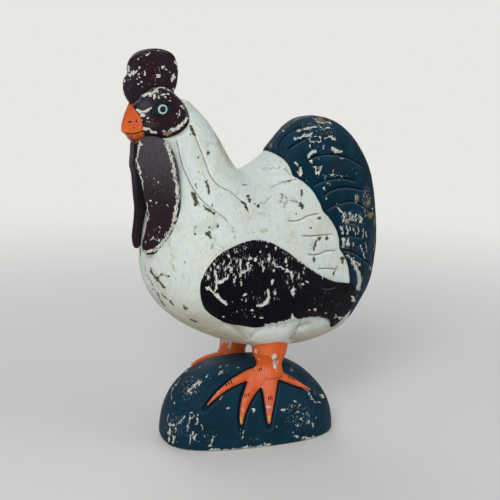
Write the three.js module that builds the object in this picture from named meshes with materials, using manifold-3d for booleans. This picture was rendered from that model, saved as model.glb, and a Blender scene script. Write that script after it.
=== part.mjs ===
// A carved and painted wooden rooster standing on a rounded mound.
// Millimetres, +Z up, beak towards -X, the rooster's left side towards -Y.
// The origin is the centre of the mound's resting face.

import * as THREE from "three";
import { mergeVertices } from "three/addons/utils/BufferGeometryUtils.js";
import Module from "manifold-3d";

const wasm = await Module();
wasm.setup();

// Driving sizes of the joints
const glueGap = 0.3;
const seamX = 25;
const bodyDowelDiameter = 12;
const bodyDowelLength = 64;
const tailDowelDiameter = 10;
const tailDowelLength = 44;
const neckDowelDiameter = 9;
const neckDowelLength = 36;
const combPegDiameter = 4.5;
const combPegLength = 20;
const beakPegDiameter = 5;
const beakPegLength = 18;
const wattlePegDiameter = 3;
const wattlePegLength = 14;
const wingPegDiameter = 6;
const wingPegLength = 16;

// Driving sizes of the mound
const moundLength = 188;
const moundWidth = 101;
const moundHeight = 85;
const moundLean = 7;
const moundTurn = -7;
const moundFootRound = 2;

// Driving sizes of the legs and feet
const legX = 10;
const legStride = 14;
const legGap = 7;
const thighDiameter = 36;
const thighSkirt = 1.5;
const thighHeight = 4;
const thighTilt = 17;
const thighTiltForward = 20;
const thighSwell = 6;
const thighEdge = 3;
const thighShoulder = 12;
const thighDepth = 26;
const shankDiameter = 26;
const ankleDiameter = 30;
const ankleHeight = 5;
const legCrown = 6;
const tenonDiameter = 14;
const upperTenonLength = 24;
const lowerTenonLength = 26;
const toeWidth = 15;
const toeRise = 6;
const toeBed = 4;
const toeTaper = 0.85;
const toeTip = 2;

// Driving sizes of the body, with heights counted from the belly
const bodyWidth = 138;
const legInset = 41;
const legSpacing = bodyWidth - 2 * legInset;

// Driving sizes of the tail
const tailThickness = 92;
const tailRimThickness = 24;

// Driving sizes of the head
const headThickness = 52;
const headRimThickness = 40;
const headFrontThickness = 11;
const headRimFall = 1.6;
const eyeDiameter = 9;
const eyeRise = 1.6;
const eyeStem = 5;
const eyeBed = 0.8;
const beakThickness = 26;
const beakTaperLength = 11;
const beakTaper = 0.35;
const beakRounding = 0.8;

// Driving sizes of the comb
const combThickness = 17;
const combRimThickness = 11;
const combRimFall = 1.4;

// Driving sizes of the wattles
const wattleTurn = 45;
const wattleThickness = 7;
const wattleRimThickness = 5;
const wattleInset = 1.5;
const wattleRimFall = 1.2;

// Driving sizes of the wings
const wingThickness = 12;
const wingProud = 5;
const wingRimProud = 4;
const wingTipOut = 43;
const wingRimFall = 1;
const wingEvening = 6;

// Heights that follow from the sizes above
const bellyHeight = moundHeight + legGap;

// Colours, as hexadecimal sRGB
const paint = {
  cream: { color: 0xd8d8c8, roughness: 0.6 },
  plum: { color: 0x2c1f24, roughness: 0.55 },
  blue: { color: 0x12303f, roughness: 0.5 },
  black: { color: 0x17171c, roughness: 0.5 },
  orange: { color: 0xc4501c, roughness: 0.5 },
  white: { color: 0xe2e0d2, roughness: 0.5 },
  wood: { color: 0xb08a5c, roughness: 0.75 },
};

// A smooth closed loop through hand-chosen points
function smoothLoop(points, count) {
  const knots = points.map(([x, z]) => new THREE.Vector3(x, 0, z));
  const curve = new THREE.CatmullRomCurve3(knots, true, "centripetal");
  return curve.getSpacedPoints(count).slice(0, count).map((p) => [p.x, p.z]);
}

// A loop moved outwards by a distance, along its own normals
function grownLoop(loop, distance) {
  const area = loop.reduce((sum, [x, z], i) => {
    const [nx, nz] = loop[(i + 1) % loop.length];
    return sum + x * nz - nx * z;
  }, 0);
  const turn = Math.sign(area);
  return loop.map(([x, z], i) => {
    const [px, pz] = loop[(i + loop.length - 1) % loop.length];
    const [nx, nz] = loop[(i + 1) % loop.length];
    const dx = nx - px;
    const dz = nz - pz;
    const length = Math.hypot(dx, dz);
    return [x + (turn * distance * dz) / length, z - (turn * distance * dx) / length];
  });
}

// A closed skin over a list of equal rings of points, closed at each end by a fan
function skin(rings, startPole, endPole) {
  const count = rings[0].length;
  const positions = [];
  rings.flat().forEach((p) => positions.push(p[0], p[1], p[2]));
  const start = rings.length * count;
  const end = start + 1;
  positions.push(...startPole, ...endPole);
  const faces = [];
  for (let j = 0; j < count; j += 1) {
    const next = (j + 1) % count;
    faces.push(start, next, j);
    const last = (rings.length - 1) * count;
    faces.push(end, last + j, last + next);
    for (let i = 0; i < rings.length - 1; i += 1) {
      const a = i * count + j;
      const b = i * count + next;
      faces.push(a, b, b + count);
      faces.push(a, b + count, a + count);
    }
  }
  const geometry = new THREE.BufferGeometry();
  geometry.setAttribute("position", new THREE.Float32BufferAttribute(positions, 3));
  geometry.setIndex(faces);
  return geometry;
}

// A closed geometry as a solid for cutting and joining
function solidOf(geometry) {
  const bare = geometry.clone();
  bare.deleteAttribute("normal");
  bare.deleteAttribute("uv");
  const merged = mergeVertices(bare, 1e-4);
  const vertProperties = new Float32Array(merged.attributes.position.array);
  const triVerts = new Uint32Array(merged.index.array);
  const solid = new wasm.Manifold(new wasm.Mesh({ numProp: 3, vertProperties, triVerts }));
  if (solid.volume() > 0) {
    return solid;
  }
  const flipped = triVerts.map((v, i) => triVerts[i % 3 === 1 ? i + 1 : i % 3 === 2 ? i - 1 : i]);
  return new wasm.Manifold(new wasm.Mesh({ numProp: 3, vertProperties, triVerts: flipped }));
}

// A solid as a geometry for the scene
function geometryOf(solid) {
  const mesh = solid.getMesh();
  const geometry = new THREE.BufferGeometry();
  geometry.setAttribute("position", new THREE.Float32BufferAttribute(mesh.vertProperties, 3));
  geometry.setIndex(Array.from(mesh.triVerts));
  geometry.computeVertexNormals();
  return geometry;
}

// The same solid on the other side of the middle plane
function mirrored(solid) {
  return solid.mirror([0, 1, 0]);
}

// A round peg between two points, or its bore when it is grown
function peg(from, to, diameter, grow = 0) {
  const start = new THREE.Vector3(...from);
  const end = new THREE.Vector3(...to);
  const along = end.clone().sub(start);
  const length = along.length() + 2 * grow;
  const radius = diameter / 2 + grow;
  const geometry = new THREE.CylinderGeometry(radius, radius, length, 12);
  const up = new THREE.Vector3(0, 1, 0);
  geometry.applyQuaternion(new THREE.Quaternion().setFromUnitVectors(up, along.normalize()));
  geometry.translate(...start.add(end).multiplyScalar(0.5).toArray());
  return solidOf(geometry);
}

// A block between two corners
function block(low, high) {
  const size = high.map((v, i) => v - low[i]);
  const geometry = new THREE.BoxGeometry(...size);
  geometry.translate(...low.map((v, i) => v + size[i] / 2));
  return solidOf(geometry);
}

// A straight-sided slab of a loop in the x-z plane, from y = low to y = high
function slab(loop, low, high) {
  const shape = new THREE.Shape(loop.map(([x, z]) => new THREE.Vector2(x, z)));
  const geometry = new THREE.ExtrudeGeometry(shape, { depth: high - low, bevelEnabled: false });
  geometry.rotateX(Math.PI / 2);
  geometry.translate(0, high, 0);
  return solidOf(geometry);
}

// A cushion-like carving: a loop in the x-z plane that swells to both sides of y = 0.
// halfAt gives the half thickness at a place, from the share of the way out to the rim.
function swollen(loop, centre, shares, halfAt) {
  const ringAt = (share, side) => loop.map(([x, z]) => {
    const px = centre[0] + (x - centre[0]) * share;
    const pz = centre[1] + (z - centre[1]) * share;
    return [px, side * halfAt(share, px, pz), pz];
  });
  const near = shares.map((share) => ringAt(share, -1));
  const far = [...shares].reverse().map((share) => ringAt(share, 1));
  const poleHalf = halfAt(0, ...centre);
  return skin([...near, ...far], [centre[0], -poleHalf, centre[1]], [centre[0], poleHalf, centre[1]]);
}

// How far a carved face falls back close to its rim, from the share of the way out
function rimFall(share, start, depth) {
  return share > start ? depth * ((share - start) / (1 - start)) ** 2 : 0;
}

// The mound is an oval dome. Its field is below zero inside and above zero outside.
const moundPlanPower = 2.7;
const moundSidePower = 2.26;

const moundAngle = THREE.MathUtils.degToRad(moundTurn);
const moundAxis = new THREE.Vector2(Math.cos(moundAngle), Math.sin(moundAngle));

function moundField(x, y, z) {
  const level = Math.min(Math.max(z / moundHeight, 0), 1);
  const forward = x * moundAxis.x + y * moundAxis.y;
  const sideways = y * moundAxis.x - x * moundAxis.y;
  const along = Math.abs(forward + moundLean * level ** 2) / (moundLength / 2);
  const across = Math.abs(sideways) / (moundWidth / 2);
  const reach = (along ** moundPlanPower + across ** moundPlanPower) ** (1 / moundPlanPower);
  return reach ** moundSidePower + level ** moundSidePower - 1;
}

function moundRing(level, inset) {
  const spread = (1 - level ** moundSidePower) ** (1 / moundSidePower);
  const along = (moundLength / 2) * spread - inset;
  const across = (moundWidth / 2) * spread - inset;
  const count = 40;
  return Array.from({ length: count }, (_, i) => {
    const angle = (2 * Math.PI * i) / count;
    const c = Math.cos(angle);
    const s = Math.sin(angle);
    const power = 2 / moundPlanPower;
    const forward = along * Math.sign(c) * Math.abs(c) ** power - moundLean * level ** 2;
    const sideways = across * Math.sign(s) * Math.abs(s) ** power;
    const x = forward * moundAxis.x - sideways * moundAxis.y;
    const y = forward * moundAxis.y + sideways * moundAxis.x;
    return [x, y, level * moundHeight];
  });
}

function moundSolid() {
  const levels = [0.25, 0.46, 0.63, 0.77, 0.88, 0.95, 0.985];
  const footLevel = moundFootRound / moundHeight;
  const rings = [moundRing(0, moundFootRound), moundRing(footLevel, 0)];
  levels.forEach((level) => rings.push(moundRing(level, 0)));
  const top = [-moundLean * moundAxis.x, -moundLean * moundAxis.y, moundHeight];
  return solidOf(skin(rings, [0, 0, 0], top));
}

// The outward direction of the mound's surface
function moundNormal(p) {
  const step = 0.01;
  const slope = (axis) => {
    const ahead = p.clone().addScaledVector(axis, step);
    const behind = p.clone().addScaledVector(axis, -step);
    return moundField(ahead.x, ahead.y, ahead.z) - moundField(behind.x, behind.y, behind.z);
  };
  const axes = [new THREE.Vector3(1, 0, 0), new THREE.Vector3(0, 1, 0), new THREE.Vector3(0, 0, 1)];
  return new THREE.Vector3(...axes.map(slope)).normalize();
}

// The point of the mound's surface nearest to a place, found along the outward direction
function ontoMound(p) {
  const found = p.clone();
  for (let pass = 0; pass < 12; pass += 1) {
    const normal = moundNormal(found);
    const step = 0.01;
    const ahead = found.clone().addScaledVector(normal, step);
    const here = moundField(found.x, found.y, found.z);
    const slope = (moundField(ahead.x, ahead.y, ahead.z) - here) / step;
    found.addScaledVector(normal, -here / Math.max(slope, 1e-3));
  }
  return found;
}

// The height of the mound's surface where a leg stands
function moundSurfaceAt(x, y) {
  let low = 0;
  let high = moundHeight;
  for (let pass = 0; pass < 30; pass += 1) {
    const middle = (low + high) / 2;
    if (moundField(x, y, middle) < 0) {
      low = middle;
    } else {
      high = middle;
    }
  }
  return low;
}

// Toes, as their turn from straight downhill towards the beak in degrees, how that turn
// changes on the way, their length over the mound and their share of the full width
const leftToes = [
  { turn: 91, bend: -53, reach: 77, width: 1 },
  { turn: 66.5, bend: -65, reach: 67, width: 1.4 },
  { turn: 14, bend: -13, reach: 55, width: 1.5 },
  { turn: -55, bend: 0, reach: 52, width: 0.85 },
];
const rightToes = [
  { turn: 106, bend: -46, reach: 52, width: 1.5 },
  { turn: 66, bend: -60, reach: 62, width: 1.4 },
  { turn: 12, bend: -10, reach: 52, width: 1.5 },
  { turn: -55, bend: 0, reach: 50, width: 0.85 },
];

// Where each leg stands: the left one, and the right one a short stride ahead of it.
// The instep and the shin say how far the front of a leg reaches at its foot and at its top,
// as a share of its radius.
const stances = {
  left: { x: legX, y: -legSpacing / 2, side: -1, toes: leftToes, instep: 1, shin: 1 },
  right: { x: legX - legStride, y: legSpacing / 2, side: 1, toes: rightToes, instep: 1.6, shin: 0.75 },
};
Object.values(stances).forEach((stance) => {
  stance.ground = moundSurfaceAt(stance.x, stance.y);
});

// One toe: a ridge that follows the mound, half sunk in its bed and tapering to a claw
function toeSolid(toe, stance, grow) {
  const steps = 8;
  const sides = 7;
  const place = new THREE.Vector3(stance.x, stance.y, stance.ground);
  const rings = [];
  const spine = [];
  for (let i = 0; i <= steps; i += 1) {
    const share = i / steps;
    const normal = moundNormal(place);
    const downhill = new THREE.Vector3(0, 0, -1).projectOnPlane(normal).normalize();
    const forward = downhill.clone().cross(normal).multiplyScalar(-stance.side);
    const angle = THREE.MathUtils.degToRad(toe.turn + toe.bend * share);
    const along = downhill.clone().multiplyScalar(Math.cos(angle)).addScaledVector(forward, Math.sin(angle));
    const side = normal.clone().cross(along);
    const taper = 1 - toeTaper * share;
    const half = (toeWidth / 2) * toe.width * taper + grow;
    const rise = toeRise * Math.sqrt(taper) + grow;
    const sink = toeBed * Math.sqrt(taper) + grow;
    rings.push(Array.from({ length: sides }, (_, j) => {
      const round = (2 * Math.PI * j) / sides;
      const lift = Math.sin(round) > 0 ? rise * Math.sin(round) : sink * Math.sin(round);
      const p = place.clone().addScaledVector(side, half * Math.cos(round));
      return p.addScaledVector(normal, lift).toArray();
    }));
    spine.push(place.clone());
    place.copy(ontoMound(place.clone().addScaledVector(along, toe.reach / steps)));
  }
  const last = spine[steps];
  const tip = last.clone().add(last.clone().sub(spine[steps - 1]).setLength(toeTip + grow));
  return solidOf(skin(rings, spine[0].toArray(), tip.toArray()));
}

// The body is a run of sections along the bird, from the crown of the neck to the rump.
// Each section has its front or low end, its back or high end, its half width as a share of
// the widest, how square it is, and how far its width drops towards the low end.
const bodySections = [
  { low: [-122, 254], high: [-77, 262], half: 0.26, square: 2.1, drop: 0 },
  { low: [-117, 232], high: [-67, 253], half: 0.35, square: 2.1, drop: 0 },
  { low: [-111, 209], high: [-56, 242], half: 0.44, square: 2.1, drop: 0 },
  { low: [-108, 184], high: [-45, 226], half: 0.53, square: 2.1, drop: 0 },
  { low: [-110, 158], high: [-36, 210], half: 0.64, square: 2.1, drop: 0 },
  { low: [-115, 131], high: [-28, 198], half: 0.77, square: 2.1, drop: 0.04 },
  { low: [-117, 105], high: [-20, 191], half: 0.89, square: 2.15, drop: 0.1 },
  { low: [-112, 76], high: [-12, 190], half: 0.97, square: 2.2, drop: 0.16 },
  { low: [-95, 51], high: [-4, 193], half: 1, square: 2.2, drop: 0.24 },
  { low: [-68, 31.5], high: [3, 198], half: 1, square: 2.2, drop: 0.32 },
  { low: [-36, 17], high: [10, 204], half: 0.98, square: 2.2, drop: 0.38 },
  { low: [-2, 9], high: [18, 212], half: 0.94, square: 2.2, drop: 0.42 },
  { low: [28, 5], high: [30, 222], half: 0.87, square: 2.2, drop: 0.44 },
  { low: [56, 5], high: [46, 227], half: 0.78, square: 2.2, drop: 0.44 },
  { low: [82, 9], high: [66, 224], half: 0.68, square: 2.2, drop: 0.42 },
  { low: [106, 18], high: [88, 208], half: 0.56, square: 2.2, drop: 0.4 },
  { low: [124, 33], high: [104, 182], half: 0.44, square: 2.2, drop: 0.38 },
];

function bodySolid(grow = 0) {
  const curveOf = (pick) => {
    const knots = bodySections.map((s) => new THREE.Vector3(...pick(s)));
    return new THREE.CatmullRomCurve3(knots, false, "catmullrom", 0.5);
  };
  const lows = curveOf((s) => [s.low[0], 0, s.low[1]]);
  const highs = curveOf((s) => [s.high[0], 0, s.high[1]]);
  const shapes = curveOf((s) => [s.half, s.square, s.drop]);
  const steps = 24;
  const sides = 28;
  const rings = [];
  const middles = [];
  for (let i = 0; i <= steps; i += 1) {
    const low = lows.getPoint(i / steps);
    const high = highs.getPoint(i / steps);
    const [half, square, drop] = shapes.getPoint(i / steps).toArray();
    const middle = low.clone().add(high).multiplyScalar(0.5);
    const axis = high.clone().sub(low);
    const reach = axis.length() / 2 + grow;
    axis.normalize();
    const width = (bodyWidth / 2) * half + grow;
    rings.push(Array.from({ length: sides }, (_, j) => {
      const turn = (2 * Math.PI * (j + 0.5)) / sides;
      const c = Math.cos(turn);
      const s = Math.sin(turn);
      const up = -reach * Math.sign(c) * Math.abs(c) ** (2 / square);
      const out = width * Math.sign(s) * Math.abs(s) ** (2 / square) * (1 + drop * c);
      return [middle.x + axis.x * up, out, middle.z + axis.z * up];
    }));
    middles.push(middle);
  }
  return solidOf(skin(rings, middles[0].toArray(), middles[steps].toArray()));
}

// The saddle feathers end in scallops, where the body meets the tail
const scallopCusps = [[-2, 212], [27, 187], [58, 151], [77.5, 112], [92.5, 69], [102, 28]];
const scallopBulges = [10, 6.5, 6.5, 6, 5];
const farAway = 400;

// The scalloped line as a loop that closes far away on one side of it
function scallopLoop(side) {
  const line = [];
  scallopCusps.slice(0, -1).forEach(([x, z], i) => {
    const [nx, nz] = scallopCusps[i + 1];
    const span = Math.hypot(nx - x, nz - z);
    const outX = -(nz - z) / span;
    const outZ = (nx - x) / span;
    const from = new THREE.Vector2(x, z);
    const to = new THREE.Vector2(nx, nz);
    const bulge = new THREE.Vector2(outX, outZ).multiplyScalar(2 * scallopBulges[i]);
    const middle = from.clone().lerp(to, 0.5).add(bulge);
    const arc = new THREE.QuadraticBezierCurve(from, middle, to);
    arc.getPoints(6).slice(0, -1).forEach((p) => line.push([p.x, p.y]));
  });
  const first = scallopCusps[0];
  const last = scallopCusps[scallopCusps.length - 1];
  const full = [[first[0], first[1] + farAway], ...line, last, [last[0], last[1] - farAway]];
  const loop = [...full, [side * farAway, last[1] - farAway], [side * farAway, first[1] + farAway]];
  return grownLoop(loop, -glueGap / 2);
}

// The tail is one thick curved board, thin and rounded at its rim
const tailOutline = [
  [8, 199], [14.5, 211.5], [23, 222.5], [34, 234], [46, 241], [59, 244], [74, 243.5], [89, 238.5],
  [104.5, 229], [118.5, 215], [130, 197], [138, 176], [143, 153], [146, 129], [147, 106], [145.5, 83],
  [140, 61], [128.5, 39], [115, 22], [99, 15], [76, 60], [40, 120],
];
const tailCentre = [60, 112];

function tailSolid() {
  const loop = smoothLoop(tailOutline, 44);
  const shares = [0.35, 0.65, 0.85, 0.95, 1];
  return solidOf(swollen(loop, tailCentre, shares, (share) => {
    const rim = tailRimThickness / 2;
    const crown = (tailThickness / 2 - rim) * (1 - share ** 2) ** 0.8;
    return rim + crown - rimFall(share, 0.95, rim * 0.35);
  }));
}

// The head carries a raised mask on both cheeks and narrows to the beak
const headOutline = [
  [-134, 257], [-130, 263], [-124, 268], [-116, 273.5], [-107, 275], [-98, 271], [-91, 265], [-85, 258],
  [-81, 250], [-80, 243], [-82, 237], [-88, 231], [-96, 227], [-105, 225], [-115, 226], [-124, 229],
  [-129, 236], [-132, 247],
];
const headCentre = [-108, 250];
const headFrontX = -134;
const headBackX = -80;

function headHalfAt(share, x) {
  const back = Math.min(Math.max((x - headFrontX) / (headBackX - headFrontX), 0), 1);
  const rim = THREE.MathUtils.lerp(headFrontThickness / 2, headRimThickness / 2, back ** 0.7);
  const crown = ((headThickness - headRimThickness) / 2) * Math.sqrt(1 - share ** 2);
  return rim + crown - rimFall(share, 0.9, headRimFall);
}

function headSolid() {
  const loop = smoothLoop(headOutline, 32);
  return solidOf(swollen(loop, headCentre, [0.35, 0.65, 0.85, 0.94, 1], headHalfAt));
}

// The comb is a rounded board with a notch at its front
const combOutline = [
  [-135, 260], [-139, 268], [-139.5, 277], [-138, 282.5], [-135, 286.5], [-136, 291], [-133.5, 299],
  [-127, 305], [-117, 308.5], [-108, 309.5], [-99, 308], [-92, 304.5], [-88, 298], [-86.5, 290],
  [-87, 280], [-89, 272], [-93, 264], [-101, 257], [-112, 252], [-126, 253],
];
const combCentre = [-112, 282];

function combSolid() {
  const loop = smoothLoop(combOutline, 32);
  return solidOf(swollen(loop, combCentre, [0.5, 0.8, 0.93, 1], (share) => {
    const rim = combRimThickness / 2;
    const crown = ((combThickness - combRimThickness) / 2) * (1 - share ** 4);
    return rim + crown - rimFall(share, 0.9, combRimFall);
  }));
}

// The beak is short and deep, with a hooked upper half
const beakOutline = [
  [-132, 259], [-136, 252], [-139, 245], [-141, 237], [-140.5, 231], [-137, 228.5], [-133.5, 224],
  [-129, 220.5], [-123, 222], [-118, 229], [-116, 238], [-119, 248], [-126, 256],
];
const beakCentre = [-128, 240];

function beakSolid(grow = 0) {
  const loop = grownLoop(smoothLoop(beakOutline, 28), grow);
  return solidOf(swollen(loop, beakCentre, [0.4, 0.75, 0.92, 1], (share, x) => {
    const forward = Math.min(Math.max((beakCentre[0] - x) / beakTaperLength, 0), 1);
    const full = (beakThickness / 2) * (1 - beakTaper * forward);
    return full * Math.sqrt(1 - beakRounding * share ** 2) + grow;
  }));
}

// A domed eye with a stem that goes into the cheek
const eyeX = -108.5;
const eyeHeight = 254;

function eyeSolid(grow = 0) {
  const radius = eyeDiameter / 2 + grow;
  const stemRadius = eyeDiameter / 4 + grow;
  const seat = headHalfAt(0.2, eyeX);
  const top = eyeRise + grow;
  const sunk = -eyeBed - grow;
  const profile = [
    [0, -eyeStem - grow], [stemRadius, -eyeStem - grow], [stemRadius, sunk], [radius, sunk],
    [radius, top * 0.35], [radius * 0.75, top * 0.75], [radius * 0.4, top], [0, top * 1.1],
  ];
  const geometry = new THREE.LatheGeometry(profile.map(([r, y]) => new THREE.Vector2(r, y)), 12);
  geometry.rotateX(Math.PI);
  geometry.translate(eyeX, -seat, eyeHeight);
  return solidOf(geometry);
}

// A wattle is a long drop-shaped board set on a flat at the side of the throat.
// Its loop runs forwards (negative) from its back edge, and up from the belly.
const wattleOutline = [
  [-41, 226], [-30, 229], [-18, 227], [-9, 218], [-4, 206], [-1.5, 192], [0, 176], [0, 162], [-2, 150],
  [-6, 138], [-12, 128], [-20, 119.5], [-29, 114.5], [-36, 115], [-38.5, 122], [-36, 132], [-33.5, 144],
  [-33, 156], [-36, 170], [-39, 184], [-42, 194], [-46, 200], [-44.5, 212],
];
const wattleCentre = [-20, 169];
const wattleBackX = -97;
const wattleBackY = -(bodyWidth / 2) * 0.55;

function wattlePlaced(solid) {
  return solid.rotate([0, 0, -wattleTurn]).translate([wattleBackX, wattleBackY, 0]);
}

function wattleSolid(grow = 0, open = 0) {
  const loop = grownLoop(smoothLoop(wattleOutline, 36), grow);
  const outward = (share) => {
    const rim = wattleRimThickness - wattleInset;
    const crown = (wattleThickness - wattleRimThickness) * Math.sqrt(1 - share ** 2);
    return rim + crown - rimFall(share, 0.9, wattleRimFall) + grow + open;
  };
  const ringAt = (share, y) => loop.map(([x, z]) => [
    wattleCentre[0] + (x - wattleCentre[0]) * share,
    y,
    wattleCentre[1] + (z - wattleCentre[1]) * share,
  ]);
  const shares = [0.4, 0.75, 0.92, 1];
  const back = wattleInset + grow;
  const rings = [...shares.map((share) => ringAt(share, -outward(share))), ringAt(1, back)];
  const front = [wattleCentre[0], -outward(0), wattleCentre[1]];
  const flat = [wattleCentre[0], back, wattleCentre[1]];
  return wattlePlaced(solidOf(skin(rings, front, flat)));
}

// A wing is a curved board let a little way into the flank, and it follows the flank's swell
const wingOutline = [
  [-86, 92], [-85, 99], [-82, 108], [-75, 117], [-64, 125], [-49, 131], [-33, 133], [-17, 131], [1, 122],
  [17, 111], [31, 101], [50, 89], [68, 80], [87, 75], [99, 71.5], [105, 64], [104, 53], [98, 42], [88, 33],
  [75.5, 26.5], [68, 37.5], [50, 45], [26, 47], [4, 46], [-13, 46], [-28, 45], [-41, 48], [-55, 51], [-68, 58],
  [-79, 68], [-84, 80],
];
const wingSpine = new THREE.Line3(new THREE.Vector3(0, 0, 86), new THREE.Vector3(58, 0, 70));
const wingTipX = 70;
const wingTipFlare = 0.12;

// How far the body's flank stands out at a place, seen from the side
const bodyMesh = new THREE.Mesh(geometryOf(bodySolid()), new THREE.MeshStandardMaterial());
const flankRay = new THREE.Raycaster();

function flankAt(x, z) {
  flankRay.set(new THREE.Vector3(x, -bodyWidth, z), new THREE.Vector3(0, 1, 0));
  const hit = flankRay.intersectObject(bodyMesh)[0];
  return hit ? -hit.point.y : 0;
}

// The same, evened out over the places around it
function flankNear(x, z) {
  const around = [[0, 0], [1, 0], [-1, 0], [0, 1], [0, -1]];
  const sum = around.reduce((total, [i, k]) => total + flankAt(x + i * wingEvening, z + k * wingEvening), 0);
  return sum / around.length;
}

// The outer face of a wing stands proud of the flank, and its tip stands free of the rump
function wingOutAt(share, x, z) {
  const proud = THREE.MathUtils.lerp(wingProud, wingRimProud, share ** 3);
  const tip = wingTipOut + Math.max(wingTipX - x, 0) * wingTipFlare;
  return Math.max(flankNear(x, z) + proud, tip);
}

function wingSolid(grow = 0, open = 0) {
  const loop = smoothLoop(wingOutline, 44);
  const wide = grownLoop(loop, grow);
  const feet = loop.map(([x, z]) => {
    return wingSpine.closestPointToPoint(new THREE.Vector3(x, 0, z), true, new THREE.Vector3());
  });
  const between = ([x, z], foot, share) => [
    THREE.MathUtils.lerp(foot.x, x, share),
    THREE.MathUtils.lerp(foot.z, z, share),
  ];
  const ringAt = (share, shift) => loop.map((point, i) => {
    const out = wingOutAt(share, ...between(point, feet[i], share));
    const [x, z] = between(wide[i], feet[i], share);
    return [x, shift - out, z];
  });
  const middle = wingSpine.getCenter(new THREE.Vector3());
  const poleAt = (shift) => [middle.x, shift - wingOutAt(0, middle.x, middle.z), middle.z];
  const outer = (share) => ringAt(share, rimFall(share, 0.97, wingRimFall) - grow - open);
  const inner = (share) => ringAt(share, wingThickness + 2 * grow);
  const rings = [...[0.35, 0.65, 0.88, 0.97, 1].map(outer), ...[1, 0.65, 0.35].map(inner)];
  return solidOf(skin(rings, poleAt(-grow - open), poleAt(wingThickness + 2 * grow)));
}

// How much the lower rim of a thigh rises towards the flank and a little forwards, as the belly does
function thighRise(side, x, y) {
  const forward = THREE.MathUtils.degToRad(thighTiltForward);
  const out = side * y * Math.cos(forward) - x * Math.sin(forward);
  const outward = out / Math.max(Math.hypot(x, y), 1);
  return thighTilt * ((1 + outward) / 2) ** 2;
}

// A thigh is a short swelling of the belly round the top of a leg
function thighSolid({ x, y, side }, grow = 0) {
  const radius = thighDiameter / 2 + thighSkirt + grow;
  const top = thighHeight + thighDepth;
  const points = [
    [0, thighHeight - grow], [radius * 0.9, thighHeight - grow], [radius, thighHeight + thighEdge],
    [radius + thighSwell * 0.8, thighHeight + thighShoulder], [radius + thighSwell, top], [0, top],
  ];
  const geometry = new THREE.LatheGeometry(points.map(([r, z]) => new THREE.Vector2(r, z)), 20);
  geometry.rotateX(Math.PI / 2);
  const place = geometry.getAttribute("position");
  for (let i = 0; i < place.count; i += 1) {
    place.setZ(i, place.getZ(i) + thighRise(side, place.getX(i), place.getY(i)));
  }
  geometry.translate(x, y, 0);
  return solidOf(geometry);
}

// A leg is a shaped post that spreads into the foot, with a round tenon at each end
function legSolid(stance, grow = 0) {
  const { x, y, ground } = stance;
  const foot = ground - toeBed - grow;
  const shoulder = bellyHeight + thighHeight;
  const crown = shoulder + thighTilt + legCrown;
  const profile = [
    [foot, ankleDiameter], [ground, ankleDiameter], [ground + ankleHeight, shankDiameter * 1.04],
    [ground + (shoulder - ground) * 0.4, shankDiameter],
    [ground + (shoulder - ground) * 0.75, (shankDiameter + thighDiameter) / 2],
    [shoulder, thighDiameter], [crown, thighDiameter],
  ];
  const points = [new THREE.Vector2(0, profile[0][0])];
  profile.forEach(([z, diameter]) => points.push(new THREE.Vector2(diameter / 2 + grow, z)));
  points.push(new THREE.Vector2(0, crown));
  const geometry = new THREE.LatheGeometry(points, 24);
  geometry.rotateX(Math.PI / 2);
  const place = geometry.getAttribute("position");
  for (let i = 0; i < place.count; i += 1) {
    const level = Math.min(Math.max((place.getZ(i) - ground) / (shoulder - ground), 0), 1);
    const front = THREE.MathUtils.lerp(stance.instep, stance.shin, level);
    place.setX(i, place.getX(i) * (place.getX(i) < 0 ? front : 1));
  }
  geometry.translate(x, y, 0);
  let leg = solidOf(geometry);
  stance.toes.forEach((toe) => {
    leg = leg.add(toeSolid(toe, stance, grow));
  });
  return leg;
}

// Pegs that hold the pieces together, each as its two ends and its diameter.
// Heights are counted from the belly.
const bodyDowelHeights = [62, 132];
const tailDowels = [[80, 108], [46, 164]];
const neckDowelMiddle = [-87, 236];
const neckDowelDirection = new THREE.Vector2(-0.78, 0.62);
const combPegX = [-122, -100];
const combPegDrop = 12;
const combPegMiddle = combCentre[1] - combPegDrop;
const beakPegRise = 2;
const beakPegHeight = beakCentre[1] + beakPegRise;
const beakPegAhead = 5;
const beakPegTip = beakCentre[0] - beakPegAhead;
const wattlePegRise = 5;
const wattlePegHeight = wattleCentre[1] + wattlePegRise;
const wattlePegForward = -14;
const wingPegPlaces = [[-42, 92], [56, 68]];

function alongX(x, z, length) {
  return [[x - length / 2, 0, z], [x + length / 2, 0, z]];
}

const pegs = {};
bodyDowelHeights.forEach((z, i) => {
  const name = i === 0 ? "body_dowel_lower" : "body_dowel_upper";
  pegs[name] = { ends: alongX(seamX, z, bodyDowelLength), diameter: bodyDowelDiameter };
});
tailDowels.forEach(([x, z], i) => {
  const name = i === 0 ? "tail_dowel_lower" : "tail_dowel_upper";
  pegs[name] = { ends: alongX(x, z, tailDowelLength), diameter: tailDowelDiameter };
});
const neckDowelEnds = [-0.5, 0.5].map((share) => {
  const [x, z] = neckDowelMiddle;
  const reach = neckDowelLength * share;
  return [x + neckDowelDirection.x * reach, 0, z + neckDowelDirection.y * reach];
});
pegs.neck_dowel = { ends: neckDowelEnds, diameter: neckDowelDiameter };
combPegX.forEach((x, i) => {
  const name = i === 0 ? "comb_peg_front" : "comb_peg_back";
  const low = combPegMiddle - combPegLength / 2;
  pegs[name] = { ends: [[x, 0, low], [x, 0, low + combPegLength]], diameter: combPegDiameter };
});
pegs.beak_peg = {
  ends: [[beakPegTip, 0, beakPegHeight], [beakPegTip + beakPegLength, 0, beakPegHeight]],
  diameter: beakPegDiameter,
};

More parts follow.
